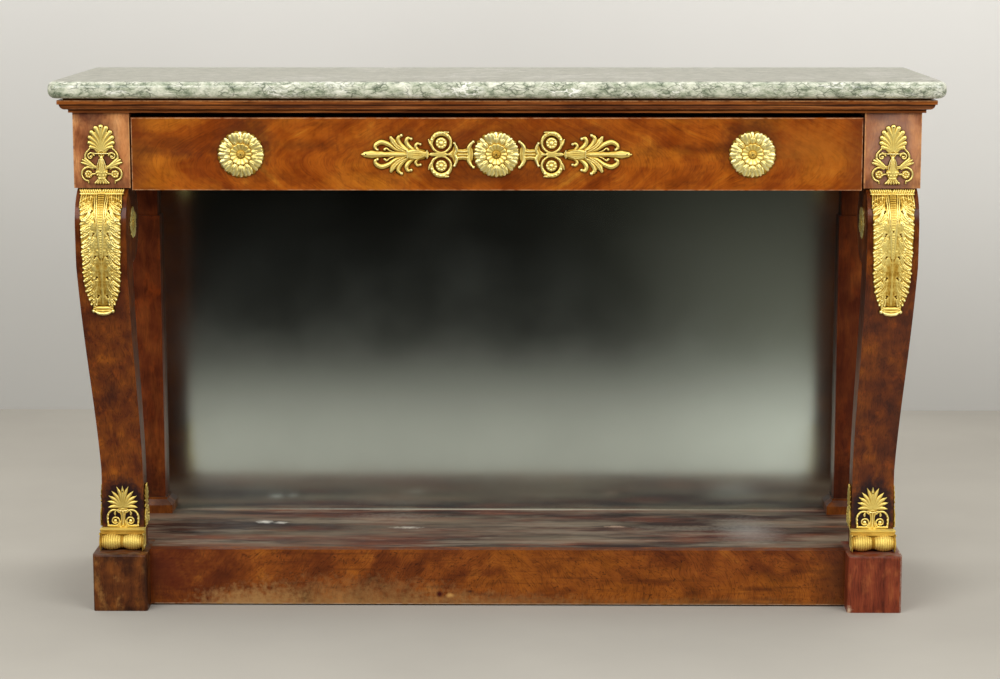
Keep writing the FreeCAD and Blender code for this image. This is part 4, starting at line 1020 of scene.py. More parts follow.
blockPalmetteLook = {
    "step": 0.5, "width": 71, "height": 102, "root": (0, 54),
    "tips": [(0, 96.4), (8.6, 94.2), (15.6, 87.2), (18.8, 78.6), (19.6, 69.8), (17.4, 62.6)],
    "lobeHalf": 4.7, "shellFoot": (8.0, 52.5), "upperScroll": {"eye": (18.2, 47.0), "ring": 6.2},
    "lowerScroll": {"eye": (22.2, 17.0), "ring": 12.0, "disc": 7.8},
}


# a fan's ground: the tips drawn in towards the root by a share, down to a foot, and mirrored
def fanOutline(look, share, foot):
    root = np.array(look["root"], float)
    side = [root + (np.array(tip) - root) * share for tip in look["tips"]] + [np.array(foot)]
    return side + [p * (-1, 1) for p in reversed(side)]


def blockPalmetteSheet():
    look = blockPalmetteLook
    sheet = newSheet(look["width"] / 2, 0, look["height"], look["step"])
    root = np.array(look["root"], float)
    for k, tip in enumerate(look["tips"][::-1]):  # lowest lobes first, the middle one over them
        run = np.array(tip) - root
        bow = np.array((run[1], -run[0])) * -0.10 * (tip[0] > 1)
        wide = look["lobeHalf"] * (0.86 + 0.036 * k)
        lobe = [root + run * 0.05, root + run * 0.55 + bow, tip]
        curve(sheet, lobe, [1.6, wide * 0.70, wide], [2.6, 2.8, 3.4])
    plate(sheet, fanOutline(look, 0.93, look["shellFoot"]), 2.0, 2.5)
    # cup under the fan, and the collar that the scrolls spring from
    plate(sheet, [(-12, 61), (12, 61), (10.5, 55.5), (6.5, 52), (-6.5, 52), (-10.5, 55.5)], 3.0, 2.4)
    lay(sheet, [(0, 51.8), (10.5, 51.8)], [1.8, 1.5], [4.4])
    lay(sheet, [(0, 51), (0, 45)], [8.6, 3.0], [3.6], "ribbed")
    low, up = look["lowerScroll"], look["upperScroll"]
    lay(sheet, arcPath(up["eye"], up["ring"], 2.2, 165, -200), [2.0, 1.6], [3.2])
    dot(sheet, up["eye"], 2.2, 3.8)
    curve(sheet, [(17.5, 62), (20.6, 58.6), (25.8, 52.5), (27.2, 45.5), (23.2, 38.4), (15.5, 34)],
          [1.6, 1.9, 2.3, 2.3, 2.0], [3.2])
    curve(sheet, [(10, 52), (14, 52.6), (18, 53.4)], [1.5], [3.2])
    # side leaves: three fingers on each
    for tip, bend in (((33.6, 36.6), (22, 32.6)), ((31.6, 41.2), (22.5, 35.8)), ((27.6, 43.4), (21.5, 37.6))):
        curve(sheet, [(9.5, 27.5), bend, tip], [2.4, 3.4, 3.4, 2.2], [3.4])
    curve(sheet, [(4, 34), (9, 30), (15, 32)], [2.0, 2.4, 1.8], [3.4])
    # lower scrolls round a flower disc, with a drop under each
    lay(sheet, arcPath(low["eye"], low["ring"], low["ring"] - 1.0, 128, -82), [2.4, 2.0], [3.2])
    curve(sheet, [(7, 27), (11, 29), (15.4, 27.4)], [2.2, 1.9], [3.4])
    dot(sheet, low["eye"], low["disc"], 2.6, "flat")
    for k in range(7):
        dot(sheet, arcPath(low["eye"], 4.6, 0, 51.4 * k, 0, 1)[0], 2.4, 4.0)
    dot(sheet, low["eye"], 2.1, 4.8)
    lay(sheet, [(9, 18), (low["eye"][0] - 6, 17)], [2.0], [3.2])
    lay(sheet, [(22.6, 5.4), (22.2, 1.8)], [1.8, 1.3], [2.8])
    # the vase, scaled below, and its flared foot
    lay(sheet, [(0, 45), (0, 40), (0, 35), (0, 28), (0, 20), (0, 13), (0, 9)],
        [3.4, 5.6, 7.6, 9.2, 11.8, 8.8, 4.8], [4.0, 4.2, 4.4, 4.6, 4.8, 4.4, 3.8])
    for across in (0, 3.6, 7.0):  # ribs down the vase, and a row of scales on its belly
        rib = [(across * 0.55, 42), (across * 0.9, 33), (across * 1.1, 25)]
        curve(sheet, rib, [0.8, 1.3, 1.0], [4.8, 5.2, 5.4])
    for at in ((0, 19.5), (5.2, 20.5), (9.0, 20.0), (2.8, 15.2), (7.0, 15.8)):
        dot(sheet, at, 2.2, 5.2)
    lay(sheet, [(0, 10.2), (5.2, 10.2)], [1.5], [4.6])
    for k in range(3):
        curve(sheet, [(1 + 2 * k, 9.5), (1.5 + 3.2 * k, 5.5), (2.4 + 4.4 * k, 2.2)], [1.8, 2.2, 2.4], [3.8])
    return sheet


sheet = blockPalmetteSheet()
for hand in hands:
    node = "frieze_palmette_" + hand
    centre, low, high = middle(node)
    mesh = cast(node, sheet, lambda x, z, h: (centre.x + x * mm, high.y - h * mm, low.z + z * mm))
    placeMount(newObject("friezePalmette_" + hand, mesh), "table", node)
print("corner block palmettes cast")


# Palmettes on the foot: eleven pointed petals on a bell, over a pair of curling stems

toePalmetteLook = {
    "step": 0.5, "width": 57, "height": 74, "root": (0, 36), "thickness": 4,
    "tips": [(0, 73.0), (10.0, 71.8), (18.8, 64.0), (24.2, 55.6), (26.2, 46.0), (25.6, 35.2)],
    "petalHalf": [2.8, 3.6, 3.9, 3.1, 0.5], "heartFoot": (9.0, 33.0), "scrollEye": (13.3, 11.4),
    "scrollRing": 7.4,
}


def toePalmetteSheet():
    look = toePalmetteLook
    sheet = newSheet(look["width"] / 2, 0, look["height"], look["step"])
    root = np.array(look["root"], float)
    for tip in look["tips"][::-1]:
        run = np.array(tip) - root
        bow = np.array((run[1], -run[0])) * -0.05 * (tip[0] > 1)
        curve(sheet, [root + run * 0.06, root + run * 0.55 + bow, tip], look["petalHalf"], [2.4, 2.6, 2.2])
        vein = [root + run * 0.3, root + run * 0.6 + bow, root + run * 0.92]
        curve(sheet, vein, [0.6, 0.8, 0.4], [3.1, 3.2, 2.8], "round", 0.5)
    plate(sheet, fanOutline(look, 0.55, look["heartFoot"]), 2.0, 1.4)
    plate(sheet, [(-10, 40), (10, 40), (9.6, 31), (6.6, 27), (-6.6, 27), (-9.6, 31)], 4.0, 2.2)
    curve(sheet, [(0, 28.8), (5, 29.4), (9.4, 31.4)], [1.0], [4.0])
    # bell below the fan, flaring to the foot
    lay(sheet, [(0, 28), (0, 21), (0, 15), (0, 8), (0, 4)], [7.6, 5.0, 4.4, 6.8, 9.6], [3.4], "ribbed")
    curve(sheet, [(6.5, 26.5), (12, 30.2), (20, 29.4), (26.2, 22), (26.8, 12), (25.4, 3)],
          [1.9, 2.2, 2.2, 2.1, 2.1, 2.2], [2.8])
    for z in (22, 15.5, 9, 3):  # knots along the outer stem
        dot(sheet, (26.6 - abs(z - 12) * 0.08, z), 2.3, 3.3)
    lay(sheet, arcPath(look["scrollEye"], look["scrollRing"], 4.2, 225, -135), [1.9, 1.5], [2.8])
    dot(sheet, look["scrollEye"], 3.7, 3.6)
    curve(sheet, [(5.5, 9), (9, 4.4), (15, 3.0), (21, 3.6), (25, 3)], [1.8, 1.6, 1.8], [2.8])
    curve(sheet, [(13.2, 27.5), (14.0, 24.6), (13.6, 22.2)], [1.4, 2.6, 1.8], [2.8])
    lay(sheet, [(0, 1.8), (24, 1.8)], [1.8, 1.5], [2.4])
    return sheet


sheet = toePalmetteSheet()
thick = toePalmetteLook["thickness"]
for hand in hands:
    node = "toe_palmette_" + hand
    centre, low, high = middle(node)
    mesh = cast(node, sheet, lambda x, z, h: (centre.x + x * mm, high.y - h * mm, low.z + z * mm))
    placeMount(newObject("toePalmette_" + hand, mesh), "table", node)
    node = "side_palmettes_" + hand
    centre, low, high = middle(node)
    narrow = (high.y - low.y) / toePalmetteLook["width"]
    meshes = []
    for way, edge in ((-1, low.x), (1, high.x)):
        seat = edge - way * thick * mm
        meshes.append(cast(node, sheet, lambda x, z, h: (seat + way * min(h, thick) * mm,
                                                         centre.y + way * x * narrow, low.z + z * mm)))
    placeMount(joined("sidePalmettes_" + hand, meshes), "table", node)
print("foot palmettes cast")


# Acanthus leaf down the front of each leg: lobed and veined, with gadroons above and a rolled tip below

acanthusLook = {
    "step": 0.6, "half": 38, "top": 15.0, "fingers": 6, "fingerHalf": 3.9, "grit": (0.24, 0.13), "seed": 11,
    "outline": [(0, 35.5), (55, 36.0), (115, 34.5), (168, 32.5), (194, 27.5), (204, 23.0), (214, 19),
                (240, 18)],
    "eyelets": [(14.0, 54), (11.5, 92), (10.0, 130), (8.5, 166), (7.0, 198)],
    "lipHalf": 19.5, "seatGap": 0.25, "ladder": 26, "tongue": 0.56, "pinHole": 0.36,
}
gadroonLook = {"count": 20, "lean": 0.36, "width": 0.070, "half": (1.85, 3.7, 5.7), "drop": 4.2,
               "coveHalf": (4.4, 3.2), "coveBack": 1.2, "coveTone": 0.2}


# the line of the leg's front, from the top down: points, outward directions and distance along it
def legFront(hand):
    node = nodes["scroll_leg_" + hand]
    tree = BVHTree.FromPolygons([v.co for v in node.data.vertices], [p.vertices for p in node.data.polygons])
    centre, low, high = middle("acanthus_mount_" + hand)
    rows = []
    for z in np.linspace(high.z, low.z - 0.004, 160):
        hit = tree.ray_cast(Vector((centre.x + 0.02, -1, z)), Vector((0, 1, 0)))[0]  # clear of the pin hole
        if hit:
            rows.append((hit.y, z))
    line = np.array(rows)
    steps = np.hypot(*np.diff(line, axis=0).T)
    along = np.concatenate(([0], np.cumsum(steps))) / mm
    for turn in range(3):  # the facets of the leg's mesh are smoothed away
        line[2:-2] = (line[:-4] + line[1:-3] + line[2:-2] + line[3:-1] + line[4:]) / 5
    slope = np.gradient(line, axis=0)
    even = np.ones(17) / 17
    slope = np.stack([np.convolve(np.pad(slope[:, k], 8, mode="edge"), even, "valid") for k in (0, 1)], 1)
    slope /= np.linalg.norm(slope, axis=1)[:, None]
    out = np.stack((slope[:, 1], -slope[:, 0]), 1)  # a quarter turn from the line, towards the front
    return centre.x, line, out, along


def acanthusSheet(tip):
    look = acanthusLook
    sheet = newSheet(look["half"] + 1, 0, tip + 6, look["step"])
    x, s = sheet["x"], sheet["z"]
    top, low = look["top"], tip - 10
    edges = list(zip(*look["outline"]))
    depth = np.minimum(np.interp(s, *edges) - 1.6 - x, np.minimum(s - top, low - s))
    press(sheet, np.s_[:, :], depth, np.full(x.shape, 2.2))
    chance = np.random.default_rng(look["seed"])
    # lobes: fingers spring from beside the midrib, swing out and down and end in curls, low ones on top
    for across, level in look["eyelets"]:
        wide = np.interp(level, *edges)
        body = [(9, level - 38), (0.55 * wide, level - 24), (wide - 9, min(level - 6, low - 10))]
        lay(sheet, throughPoints(body, 8), [4.0, 10.5, 12.0, 8.0], [1.2, 1.5, 1.8, 1.7], "round", 1.0)
        for k in range(look["fingers"]):
            t = k / (look["fingers"] - 1)
            slip, draw, lift = chance.uniform(-1, 1, 3)
            endS = min(level - 22 + 38 * t + 1.6 * slip, low - 1)
            tipX = np.interp(endS, *edges) * (1 - 0.05 * t) - 1.2 + 1.2 * draw
            start = np.array((7.0 + (across - 4.0) * t, level - 42 + 35 * t))
            end = np.array((tipX - 1.2, endS))
            bend = start + (end - start) * (0.42 + 0.08 * draw, 0.66 + 0.06 * slip)
            rise = 1.9 + 1.1 * t + 0.35 * lift
            run = throughPoints([start, bend, end], 8)
            wide = look["fingerHalf"] * (1 + 0.12 * lift)
            lay(sheet, run, [1.2, wide * 0.8, wide, wide * 0.95, 2.2],
                [0.7 * rise, rise, rise + 0.3, rise + 0.5], "groove", 1.0)
            dot(sheet, end, 2.1, rise + 1.0, lift=1.0)
            for part in (0.55, 0.75):  # buds and folds on the finger
                spot = np.array(run[int(part * (len(run) - 1))]) + chance.uniform(-1.6, 1.6, 2)
                dot(sheet, spot, 1.5 + 0.5 * draw, rise + 0.8, lift=1.0)
    for k in range(7):  # straight flutes under the gadroons, fanning out
        foot = 10.0 + 4.0 * k
        curve(sheet, [(foot * 0.96, top), (foot, top + 12), (foot * 1.05, top + 18 + 0.3 * foot)],
              [2.2, 2.0, 0.8], [2.2, 2.4, 1.8], "round", 1.0)
    for across, level in look["eyelets"]:  # eyelets where one lobe overlaps the next
        sink(sheet, across, level - 6, 2.1, 0.7)
        sink(sheet, across + 1.6, level - 3.2, 1.7, 0.8)
    for cells, depth in zip((4, 2), look["grit"]):  # the chaser's uneven tool marks
        marks = blurred(chance.standard_normal(x.shape), cells)
        sheet["height"] += depth * marks / marks.std() * (sheet["height"] > 1.2)
    # darker under the gadroons and down the upper midrib; painted shade on the lower half and lower midrib,
    # which face down and away from the lamps; and a little lighter overall
    sheet["shade"] -= 0.22 * np.clip((top + 34 - s) / 16, 0, 1) * (s > top)
    sheet["shade"] -= 0.14 * np.exp(-(x / 8) ** 2) * np.clip((85 - s) / 30, 0, 1) * (s > top)
    sheet["shade"] -= 0.10 * np.exp(-(x / 11) ** 2) * np.clip((s - 95) / 30, 0, 1)
    sheet["shade"] -= 0.08 * np.clip((s - 110) / 40, 0, 1) - 0.07
    # midrib: a tapering tongue, faintly cross ribbed, between raised lines, then a plain stem
    end = look["tongue"] * tip
    lay(sheet, [(0, top), (0, end * 0.5), (0, end)], [7.6, 5.0, 1.2], [2.2, 2.2, 1.9], "flat", 1.0)
    for part in np.linspace(0, 1, look["ladder"]):
        y = top + 5 + part * (end - top - 8)
        rung = [(0, y), (4.4 * (1 - part) + 0.3, y)]
        lay(sheet, rung, [1.2 - 0.4 * part], [2.9 - 0.4 * part], "round", 1.0)
    for across, rise in ((8.2, 3.2), (12.0, 2.7)):
        curve(sheet, [(across, top), (across * 0.7, end * 0.45), (across * 0.2, end)], [1.5, 1.3, 0.9],
              [rise, rise, rise - 0.6])
    lay(sheet, [(0, end - 4), (0, low)], [1.4, 2.6], [2.1, 2.4], "groove")
    sink(sheet, 0, look["pinHole"] * tip, 1.7, 1.2)
    # fillet under the gadroons, and the tip that rolls over between two curled corners
    lay(sheet, [(0, top + 1.6), (36, top + 1.6)], [1.8], [3.6])
    lip, corner = tip - 6.5, look["lipHalf"]
    curve(sheet, [(0, lip - 5.0), (10, lip - 5.4), (corner - 5, lip - 4.5)], [5.0, 4.6, 3.6], [4.6, 4.4, 4.2])
    curve(sheet, [(0, lip + 2.6), (8, lip + 1.8), (corner - 6.5, lip - 0.5)], [4.6, 4.2, 2.6],
          [9.0, 8.4, 6.0])
    lay(sheet, [(0, lip - 1.2), (corner - 8, lip - 2.4)], [4.4, 3.2], [6.8, 5.4])
    dot(sheet, (corner - 3.4, lip - 1.0), 4.0, 6.0)
    return sheet


def gadroonTree():
    tree, given = newTree("gadroons in a row", [("Lobe", "Object"), ("Count", "Int"), ("Width", "Float"),
                                                ("Lean", "Float"), ("Finish", "Material")])
    half = add(tree, "Math", (given["Width"], 0.5), operation="MULTIPLY")
    start = add(tree, "Math", (half, -1.0), operation="MULTIPLY")
    first = add(tree, "CombineXYZ", (start,))
    last = add(tree, "CombineXYZ", (half,))
    ends = {"Count": given["Count"], "Start Location": first, "Offset": last}
    row = add(tree, "GeometryNodeMeshLine", ends, mode="END_POINTS", count_mode="TOTAL")
    across = add(tree, "SeparateXYZ", (add(tree, "GeometryNodeInputPosition"),))
    way = add(tree, "Math", (across,), operation="SIGN")
    lean = add(tree, "Math", (way, given["Lean"]), operation="MULTIPLY")
    turn = add(tree, "CombineXYZ", {1: lean})
    lobe = add(tree, "GeometryNodeObjectInfo", {"Object": given["Lobe"]}, out="Geometry")
    lobes = add(tree, "GeometryNodeInstanceOnPoints", {"Points": row, "Instance": lobe, "Rotation": turn})
    endTree(tree, [lobes], given["Finish"])
    return tree


def gadroonMesh(rows=8, around=10):
    levels = [-math.cos(math.pi * k / rows) for k in range(rows + 1)]
    mesh = turned("gadroon", [(max(1 - abs(t) ** 3, 0) ** 0.4, t, 0, 0.62) for t in levels], around)
    mesh.transform(Matrix.Diagonal([half * mm for half in gadroonLook["half"]] + [1]))
    return mesh


gadroons = gadroonTree()
lobe = newObject("gadroon", gadroonMesh())
for hand in hands:
    node = "acanthus_mount_" + hand
    legX, line, out, along = legFront(hand)
    sheet = acanthusSheet(along[-1] - 4)

    def onLeg(x, s, h):
        y, z = np.interp(s, along, line[:, 0]), np.interp(s, along, line[:, 1])
        outY, outZ = np.interp(s, along, out[:, 0]), np.interp(s, along, out[:, 1])
        lift = (h + acanthusLook["seatGap"]) * mm
        return (legX + x * mm, y + outY * lift, z + outZ * lift)

    leaf = cast(node, sheet, onLeg)
    row = grown("gadroon row", gadroons, {"Lobe": lobe, "Count": gadroonLook["count"], "Finish": gilt,
                                          "Width": gadroonLook["width"], "Lean": gadroonLook["lean"]})
    low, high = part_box(node)
    # the gadroons stand on a round moulding that runs across the top of the leaf
    drop, back = gadroonLook["drop"] * mm, gadroonLook["coveBack"] * mm
    crownZ = high.z - drop
    crownY = np.interp(-crownZ, -line[:, 1], line[:, 0]) - drop
    row.transform(Matrix.Translation((legX, crownY, crownZ)))
    ends = [(0, -1), (1, -1), (1, 1), (0, 1)]
    coving = turned("acanthus cove", [end + (0, gadroonLook["coveTone"]) for end in ends], 20)
    sizes = [v * mm for v in gadroonLook["coveHalf"]] + [gadroonLook["width"] / 2 + back, 1]
    coving.transform(Matrix.Diagonal(sizes))
    coving.transform(Matrix.Translation((legX, crownY + back, crownZ)) @ Matrix.Rotation(math.pi / 2, 4, "Y"))
    placeMount(joined("acanthusMount_" + hand, [leaf, coving, row]), "table", node)
print("acanthus leaves cast")


# Toe mounts: two fluted barrels tied in the middle, end discs, a moulded band and a scroll plate on each side

toeLook = {
    "flutes": 8, "fluteDepth": 0.8, "bulge": 4.2, "tie": 2.4, "disc": 3.0, "roll": 14.2, "segments": 40,
    "neck": [(0, 0), (9.6, 0), (10.6, 0.7), (9.8, 1.6), (9.4, 2.6)], "neckTone": 0.34, "discTone": 0.44,
    "band": [(0, 0), (14, 0), (15.5, 0.10), (15.5, 0.24), (13.2, 0.34), (13.6, 0.62), (16.6, 0.74),
             (17.6, 0.86), (17.6, 1.0), (0, 1.0)],
    "webShare": 0.98, "webTone": 0.2, "plateStep": 0.6, "plateEye": (0, 14.5), "plateSeat": 2.5,
    "plateRise": 2.4, "plateFront": 13.8,
}


# the two rolls along X: a neck in the middle, a fluted barrel and an end disc on each side
def toeRolls(low, centreX, half):
    look = toeLook
    roll, barrelEnd = look["roll"], half - look["disc"]
    count = look["flutes"] * 8
    side = []
    for k in range(count + 1):
        t = k / count
        x = look["tie"] + t * (barrelEnd - look["tie"])
        belly = look["bulge"] * (math.sin(math.pi * t) - 1)
        flute = -look["fluteDepth"] * (1 - abs(math.sin(math.pi * look["flutes"] * t)))
        side.append((roll + belly + flute, x, 0, 0.56 + 0.18 * flute / look["fluteDepth"]))
    disc = [(roll - 3.2, barrelEnd + 0.2), (roll - 0.4, barrelEnd + 0.5), (roll, barrelEnd + 1.2),
            (roll - 0.5, half - 0.5), (roll - 2.5, half), (roll - 4, half - 0.6), (roll - 5.5, half - 0.9),
            (6.5, half - 0.8), (5, half - 0.1), (0, half)]
    profile = [row + (0, look["neckTone"]) for row in look["neck"]] + side
    profile += [row + (0, look["discTone"]) for row in disc]
    spot = Matrix.Translation((centreX, low.y + (roll + 0.2) * mm, low.z + (roll + 0.1) * mm))
    meshes = []
    for turn in (math.pi, 0):
        body = turned("toe roll", profile, look["segments"])
        body.transform(Matrix.Rotation(turn, 4, "Z") @ Matrix.Rotation(math.pi / 2, 4, "Y"))
        body.transform(spot @ Matrix.Scale(mm, 4))
        meshes.append(body)
    return meshes


# the moulded band over the rolls, whose section runs out from the leg, and the web behind them
def toeBand(hand, low, centreX, half):
    look = toeLook
    palmetteLow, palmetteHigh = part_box("toe_palmette_" + hand)
    backY, rollY = palmetteHigh.y, low.y + look["roll"] * mm
    bandLow, bandTop = low.z + (2 * look["roll"] - 1.5) * mm, palmetteLow.z - 0.3 * mm
    points = [(centreX + x * mm, backY - out * mm, bandLow + up * (bandTop - bandLow))
              for x in (-half + 0.3, half - 0.3) for out, up in look["band"]]
    count = len(look["band"])
    faces = [(k, (k + 1) % count, count + (k + 1) % count, count + k) for k in range(count)]
    faces += [tuple(range(count)), tuple(range(2 * count - 1, count - 1, -1))]
    band = newMesh("toe band", points, faces, [0.36 + 0.2 * up for out, up in look["band"]] * 2)
    webLow, webTop = low.z + 0.6 * look["roll"] * mm, bandLow + mm
    section = ((rollY, webLow), (backY, webLow), (backY, webTop), (rollY, webTop))
    points = [(centreX + x * half * mm * look["webShare"], y, z) for x in (-1, 1) for y, z in section]
    faces = [(0, 1, 2, 3), (7, 6, 5, 4), (0, 4, 5, 1), (1, 5, 6, 2), (2, 6, 7, 3), (3, 7, 4, 0)]
    web = newMesh("toe web", points, faces, [look["webTone"]] * 8)
    for mesh in (band, web):
        mesh.shade_flat()
    return [band, web]


# a side plate: a scroll band that curls from the roll up the side of the foot
def toePlateSheet():
    eye = toeLook["plateEye"]
    sheet = newSheet(30, 0, 38, toeLook["plateStep"])
    lay(sheet, arcPath(eye, 12.5, 3, 90, -330, 60), [1.9, 1.4], [1.5])
    dot(sheet, eye, 13.8, 0.2, "flat", 0.6)
    dot(sheet, eye, 2.8, 2.0)
    curve(sheet, [(0, 27), (10, 29), (20, 35), (28, 36.5)], [1.7, 1.5], [1.5])
    for t in np.linspace(2, 26, 9):
        lay(sheet, [(t, 3), (t, 27 + 0.32 * t)], [2.2], [0.2], "flat", 0.5)
    return sheet


sheet = toePlateSheet()
for hand in hands:
    centre, low, high = middle("toe_scroll_" + hand)
    half = (high.x - low.x) / 2 / mm
    rollY = low.y + toeLook["roll"] * mm
    meshes = toeRolls(low, centre.x, half) + toeBand(hand, low, centre.x, half)
    for way in (-1, 1):
        face = centre.x + way * (half - toeLook["plateSeat"]) * mm
        side = cast("toe plate", sheet, lambda x, z, h: (face + way * min(h, toeLook["plateRise"]) * mm,
                                                         rollY + x * mm, low.z + z * mm))
        keep = bmesh.new()  # the front of the plate is cut off flush with the roll
        keep.from_mesh(side)
        bmesh.ops.bisect_plane(keep, geom=keep.verts[:] + keep.edges[:] + keep.faces[:], dist=1e-6,
                               clear_outer=True, plane_no=(0, -1, 0),
                               plane_co=(0, rollY - toeLook["plateFront"] * mm, 0))
        bmesh.ops.holes_fill(keep, edges=[e for e in keep.edges if e.is_boundary], sides=0)
        bmesh.ops.recalc_face_normals(keep, faces=keep.faces)
        keep.to_mesh(side)
        keep.free()
        meshes.append(side)
    placeMount(joined("toeScroll_" + hand, meshes), "table", "toe_scroll_" + hand, wornGilt)
print("toe mounts made")


# Pin heads: small dark domes where the mounts are nailed on

# places in millimetres: spray (aside, out, up from the axis), block and toe (out, down from the top),
# leaf (back from the mount's front, up from the floor)
pinLook = {
    "radius": 1.3, "rosetteSeat": 7.6, "spray": [(219, 4.2, 0), (168, 3.8, 30.5), (168, 3.8, -30.5)],
    "block": (3.6, 6), "toe": (3.0, 11), "leaf": (9.2, 672),
    "tones": [(0.1, "#2e200a"), (0.9, "#8f6a26"), (0.5, "#5a4316")],
}
pinMetal = giltBronze("gilt bronze pin, dark with wax", dict(giltLook, tones=pinLook["tones"]))


def pinTree():
    tree, given = newTree("pin heads", [("Spots", "Object"), ("Radius", "Float"), ("Finish", "Material")])
    spots = add(tree, "GeometryNodeObjectInfo", {"Object": given["Spots"]}, out="Geometry")
    dome = add(tree, "GeometryNodeMeshIcoSphere", {"Radius": given["Radius"], "Subdivisions": 2})
    heads = add(tree, "GeometryNodeInstanceOnPoints", {"Points": spots, "Instance": dome})
    endTree(tree, [heads], given["Finish"])
    return tree


pins = pinTree()


def pinHeads(name, body, node, places):
    mesh = bpy.data.meshes.new("pin spots")
    mesh.from_pydata(places, [], [])
    spots = newObject("pin spots", mesh)
    heads = grown(name, pins, {"Spots": spots, "Radius": pinLook["radius"] * mm, "Finish": pinMetal})
    bpy.data.objects.remove(spots)
    placeMount(newObject(name, heads), body, node, pinMetal)


drawerPins, legPins = [], []
for hand, way in zip(hands, (-1, 1)):
    spot, low, high = middle("drawer_rosette_" + hand)
    drawerPins.append((spot.x, high.y - pinLook["rosetteSeat"] * mm, spot.z))
    for aside, out, up in pinLook["spray"]:
        drawerPins.append((way * aside * mm, seatY - out * mm, axisZ + up * mm))
    for mount, key in (("frieze_palmette_", "block"), ("toe_palmette_", "toe")):
        spot, low, high = middle(mount + hand)
        out, down = pinLook[key]
        legPins.append((spot.x, high.y - out * mm, high.z - down * mm))
    spot, low, high = middle("acanthus_mount_" + hand)
    back, level = pinLook["leaf"]
    legPins.append((spot.x, low.y + back * mm, level * mm))
spot = middle("drawer_centre_mount")[0]
drawerPins.append((spot.x, seatY - pinLook["rosetteSeat"] * mm, axisZ))
pinHeads("drawerPinHeads", "drawer", "drawer_mount_pins", drawerPins)
pinHeads("legPinHeads", "table", "leg_mount_pins", legPins)
for helper in [rosetteBody, lobe] + list(petals.values()):
    bpy.data.objects.remove(helper)
print("pin heads set")


# Stage: pale floor and wall, soft lamps, and the camera at the photograph's angle

stageLook = {
    "floor": "#a8a399", "wall": "#b3b1ab", "wallHigh": "#d9d7d2", "wallBlend": (0.3, 1.8), "dim": "#0c0b09",
    "dimRight": "#56544a", "paleRight": "#cfcbc0", "rightSide": (0.2, 0.9),
    "wallY": 1.69, "halfWidth": 9.0, "floorBack": 7.0, "floorCloud": 0.5, "wallCloud": 0.9, "napSize": 0.4,
    "front": -14.0, "wallHeight": 7.0, "dimFrom": -0.8, "dimTo": -2.48, "dimSide": (0.65, 1.15),
    "world": 0.38, "worldGlossy": 0.36, "farWall": (-13.5, 2.6),
    "cloth": [(0.3, "#0a0908"), (0.7, "#14120f")],
}
lampLook = {
    "key": {"at": (-2.4, -3.4, 3.1), "to": (0.0, 0.0, 0.5), "size": (3.4, 2.4), "power": 150},
    "fill": {"at": (2.6, -3.3, 3.0), "to": (0.0, 0.0, 0.5), "size": (3.4, 2.4), "power": 140},
    "top": {"at": (0.0, 0.3, 3.4), "to": (0.0, 0.9, 0.4), "size": (5.0, 1.6), "power": 70},
}
cameraLook = {
    "at": (0.0572, -4.4150, 1.1552), "down": 0.15913, "aside": -0.01214, "roll": -0.00058,
    "focalPixels": 2524.1, "imageWidth": 1000, "sensor": 36.0,
}


# Plain painted floor: matt pale grey with faint cloudy wear. Mirrors see it fade to a dim room further off.
def floorPaint(look):
    material, tree, shader, where = newMaterial("painted floor, matt")
    cloud = add(tree, "TexNoise", {"Vector": where, "Scale": 1 / look["floorCloud"], "Detail": 4.0})
    tint = add(tree, "MapRange", (cloud, 0.3, 0.7, 0.94, 1.05))
    pale = add(tree, "Mix", {"Factor": 1.0, "A": linear(look["floor"]), "B": tint}, out=2, data_type="RGBA",
               blend_type="MULTIPLY")
    axes = add(tree, "SeparateXYZ", (where,), out=None)
    far = add(tree, "MapRange", (axes[1], look["dimTo"], look["dimFrom"], 1.0, 0.0),
              interpolation_type="SMOOTHSTEP")
    aside = add(tree, "MapRange", (axes[0], *[-v for v in look["dimSide"]]), interpolation_type="SMOOTHSTEP")
    far = add(tree, "Math", (far, aside), operation="MAXIMUM")
    right = add(tree, "MapRange", (axes[0], *look["rightSide"]), interpolation_type="SMOOTHSTEP")
    glossy = add(tree, "LightPath", out="Is Glossy Ray")
    far = add(tree, "Math", (far, glossy), operation="MULTIPLY")
    right = add(tree, "Math", (right, glossy), operation="MULTIPLY")
    pale = add(tree, "Mix", {"Factor": right, "A": pale, "B": linear(look["paleRight"])}, out=2,
               data_type="RGBA")
    dark = add(tree, "Mix", {"Factor": right, "A": linear(look["dim"]), "B": linear(look["dimRight"])}, out=2,
               data_type="RGBA")
    colour = add(tree, "Mix", {"Factor": far, "A": pale, "B": dark}, out=2, data_type="RGBA")
    feed(tree, shader, {"Base Color": colour, "Roughness": 0.9, "Specular IOR Level": 0.0})
    return material


# Plain painted wall: matt, with painted light that makes it a little lighter towards the top and the right.
# From behind it is clear, so that the back of the table shows.
def wallPaint(look):
    material, tree, shader, where = newMaterial("painted wall, matt")
    axes = add(tree, "SeparateXYZ", (where,), out=None)
    cloud = add(tree, "TexNoise", {"Vector": where, "Scale": 1 / look["wallCloud"], "Detail": 3.0})
    height = add(tree, "Math", (cloud, 0.3, axes[2]), operation="MULTIPLY_ADD")
    right = add(tree, "Math", (axes[0], 0.0), operation="MAXIMUM")
    height = add(tree, "Math", (right, 0.3, height), operation="MULTIPLY_ADD")
    blend = add(tree, "MapRange", (height, *look["wallBlend"]), interpolation_type="SMOOTHSTEP")
    colour = add(tree, "Mix", {"Factor": blend, "A": linear(look["wall"]), "B": linear(look["wallHigh"])},
                 out=2, data_type="RGBA")
    feed(tree, shader, {"Base Color": colour, "Roughness": 0.85})
    behind = add(tree, "NewGeometry", out="Backfacing")
    mixed = add(tree, "MixShader", (behind, shader.outputs[0], add(tree, "BsdfTransparent")))
    feed(tree, tree.nodes["Material Output"], (mixed,))
    return material


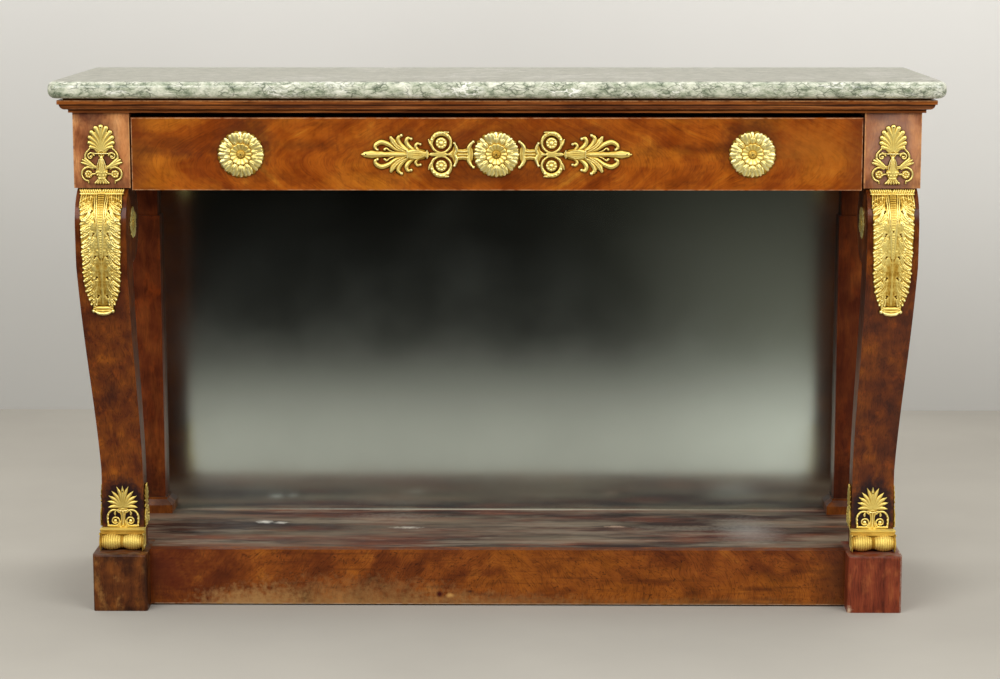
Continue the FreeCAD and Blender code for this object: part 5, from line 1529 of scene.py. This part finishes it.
# The far end of the room, which only mirrors see: dark matt cloth with a soft nap.
def darkCloth(look):
    material, tree, shader, where = newMaterial("dark cloth, matt")
    nap = add(tree, "TexNoise", {"Vector": where, "Scale": 1 / look["napSize"], "Detail": 3.0})
    colour = add(tree, "ValToRGB", (nap,), stops=look["cloth"])
    feed(tree, shader, {"Base Color": colour, "Roughness": 0.95, "Specular IOR Level": 0.0})
    return material


wide, wallY, front, back = (stageLook[k] for k in ("halfWidth", "wallY", "front", "floorBack"))
tall, (farY, farTall) = stageLook["wallHeight"], stageLook["farWall"]
for name, paint, corners in (
        ("floor", floorPaint, [(-wide, front, 0), (wide, front, 0), (wide, back, 0), (-wide, back, 0)]),
        ("wall", wallPaint, [(-wide, wallY, 0), (wide, wallY, 0), (wide, wallY, tall), (-wide, wallY, tall)]),
        ("curtain", darkCloth, [(wide, farY, 0), (-wide, farY, 0), (-wide, farY, farTall),
                                (wide, farY, farTall)])):
    mesh = bpy.data.meshes.new(name)
    mesh.from_pydata(corners, [], [(0, 1, 2, 3)])
    mesh.materials.append(paint(stageLook))
    newObject(name, mesh)

world = bpy.data.worlds.new("studio")
scene.world = world
world.use_nodes = True
sky = world.node_tree
glossy = add(sky, "LightPath", out="Is Glossy Ray")  # polished wood and metal see a dim room
level = add(sky, "Mix", {"Factor": glossy, "A": stageLook["world"], "B": stageLook["worldGlossy"]})
feed(sky, sky.nodes["Background"], {"Color": (1, 1, 1, 1), "Strength": level})

for name, lamp in lampLook.items():
    data = bpy.data.lights.new(name, "AREA")
    data.shape = "RECTANGLE"
    data.size, data.size_y = lamp["size"]
    data.energy = lamp["power"]
    light = newObject(name, data)
    light.location = lamp["at"]
    aim = Vector(lamp["to"]) - Vector(lamp["at"])
    light.rotation_euler = aim.to_track_quat("-Z", "Y").to_euler()

cameraData = bpy.data.cameras.new("camera")
cameraData.sensor_fit = "HORIZONTAL"
cameraData.sensor_width = cameraLook["sensor"]
cameraData.lens = cameraLook["focalPixels"] / cameraLook["imageWidth"] * cameraLook["sensor"]
camera = newObject("camera", cameraData)
camera.location = cameraLook["at"]
aside = Matrix.Rotation(-cameraLook["aside"], 4, "Z")
down = Matrix.Rotation(math.pi / 2 - cameraLook["down"], 4, "X")
camera.rotation_euler = (aside @ down @ Matrix.Rotation(cameraLook["roll"], 4, "Z")).to_euler()
scene.camera = camera
scene.view_settings.view_transform = "Standard"
print("stage, lamps and camera set")
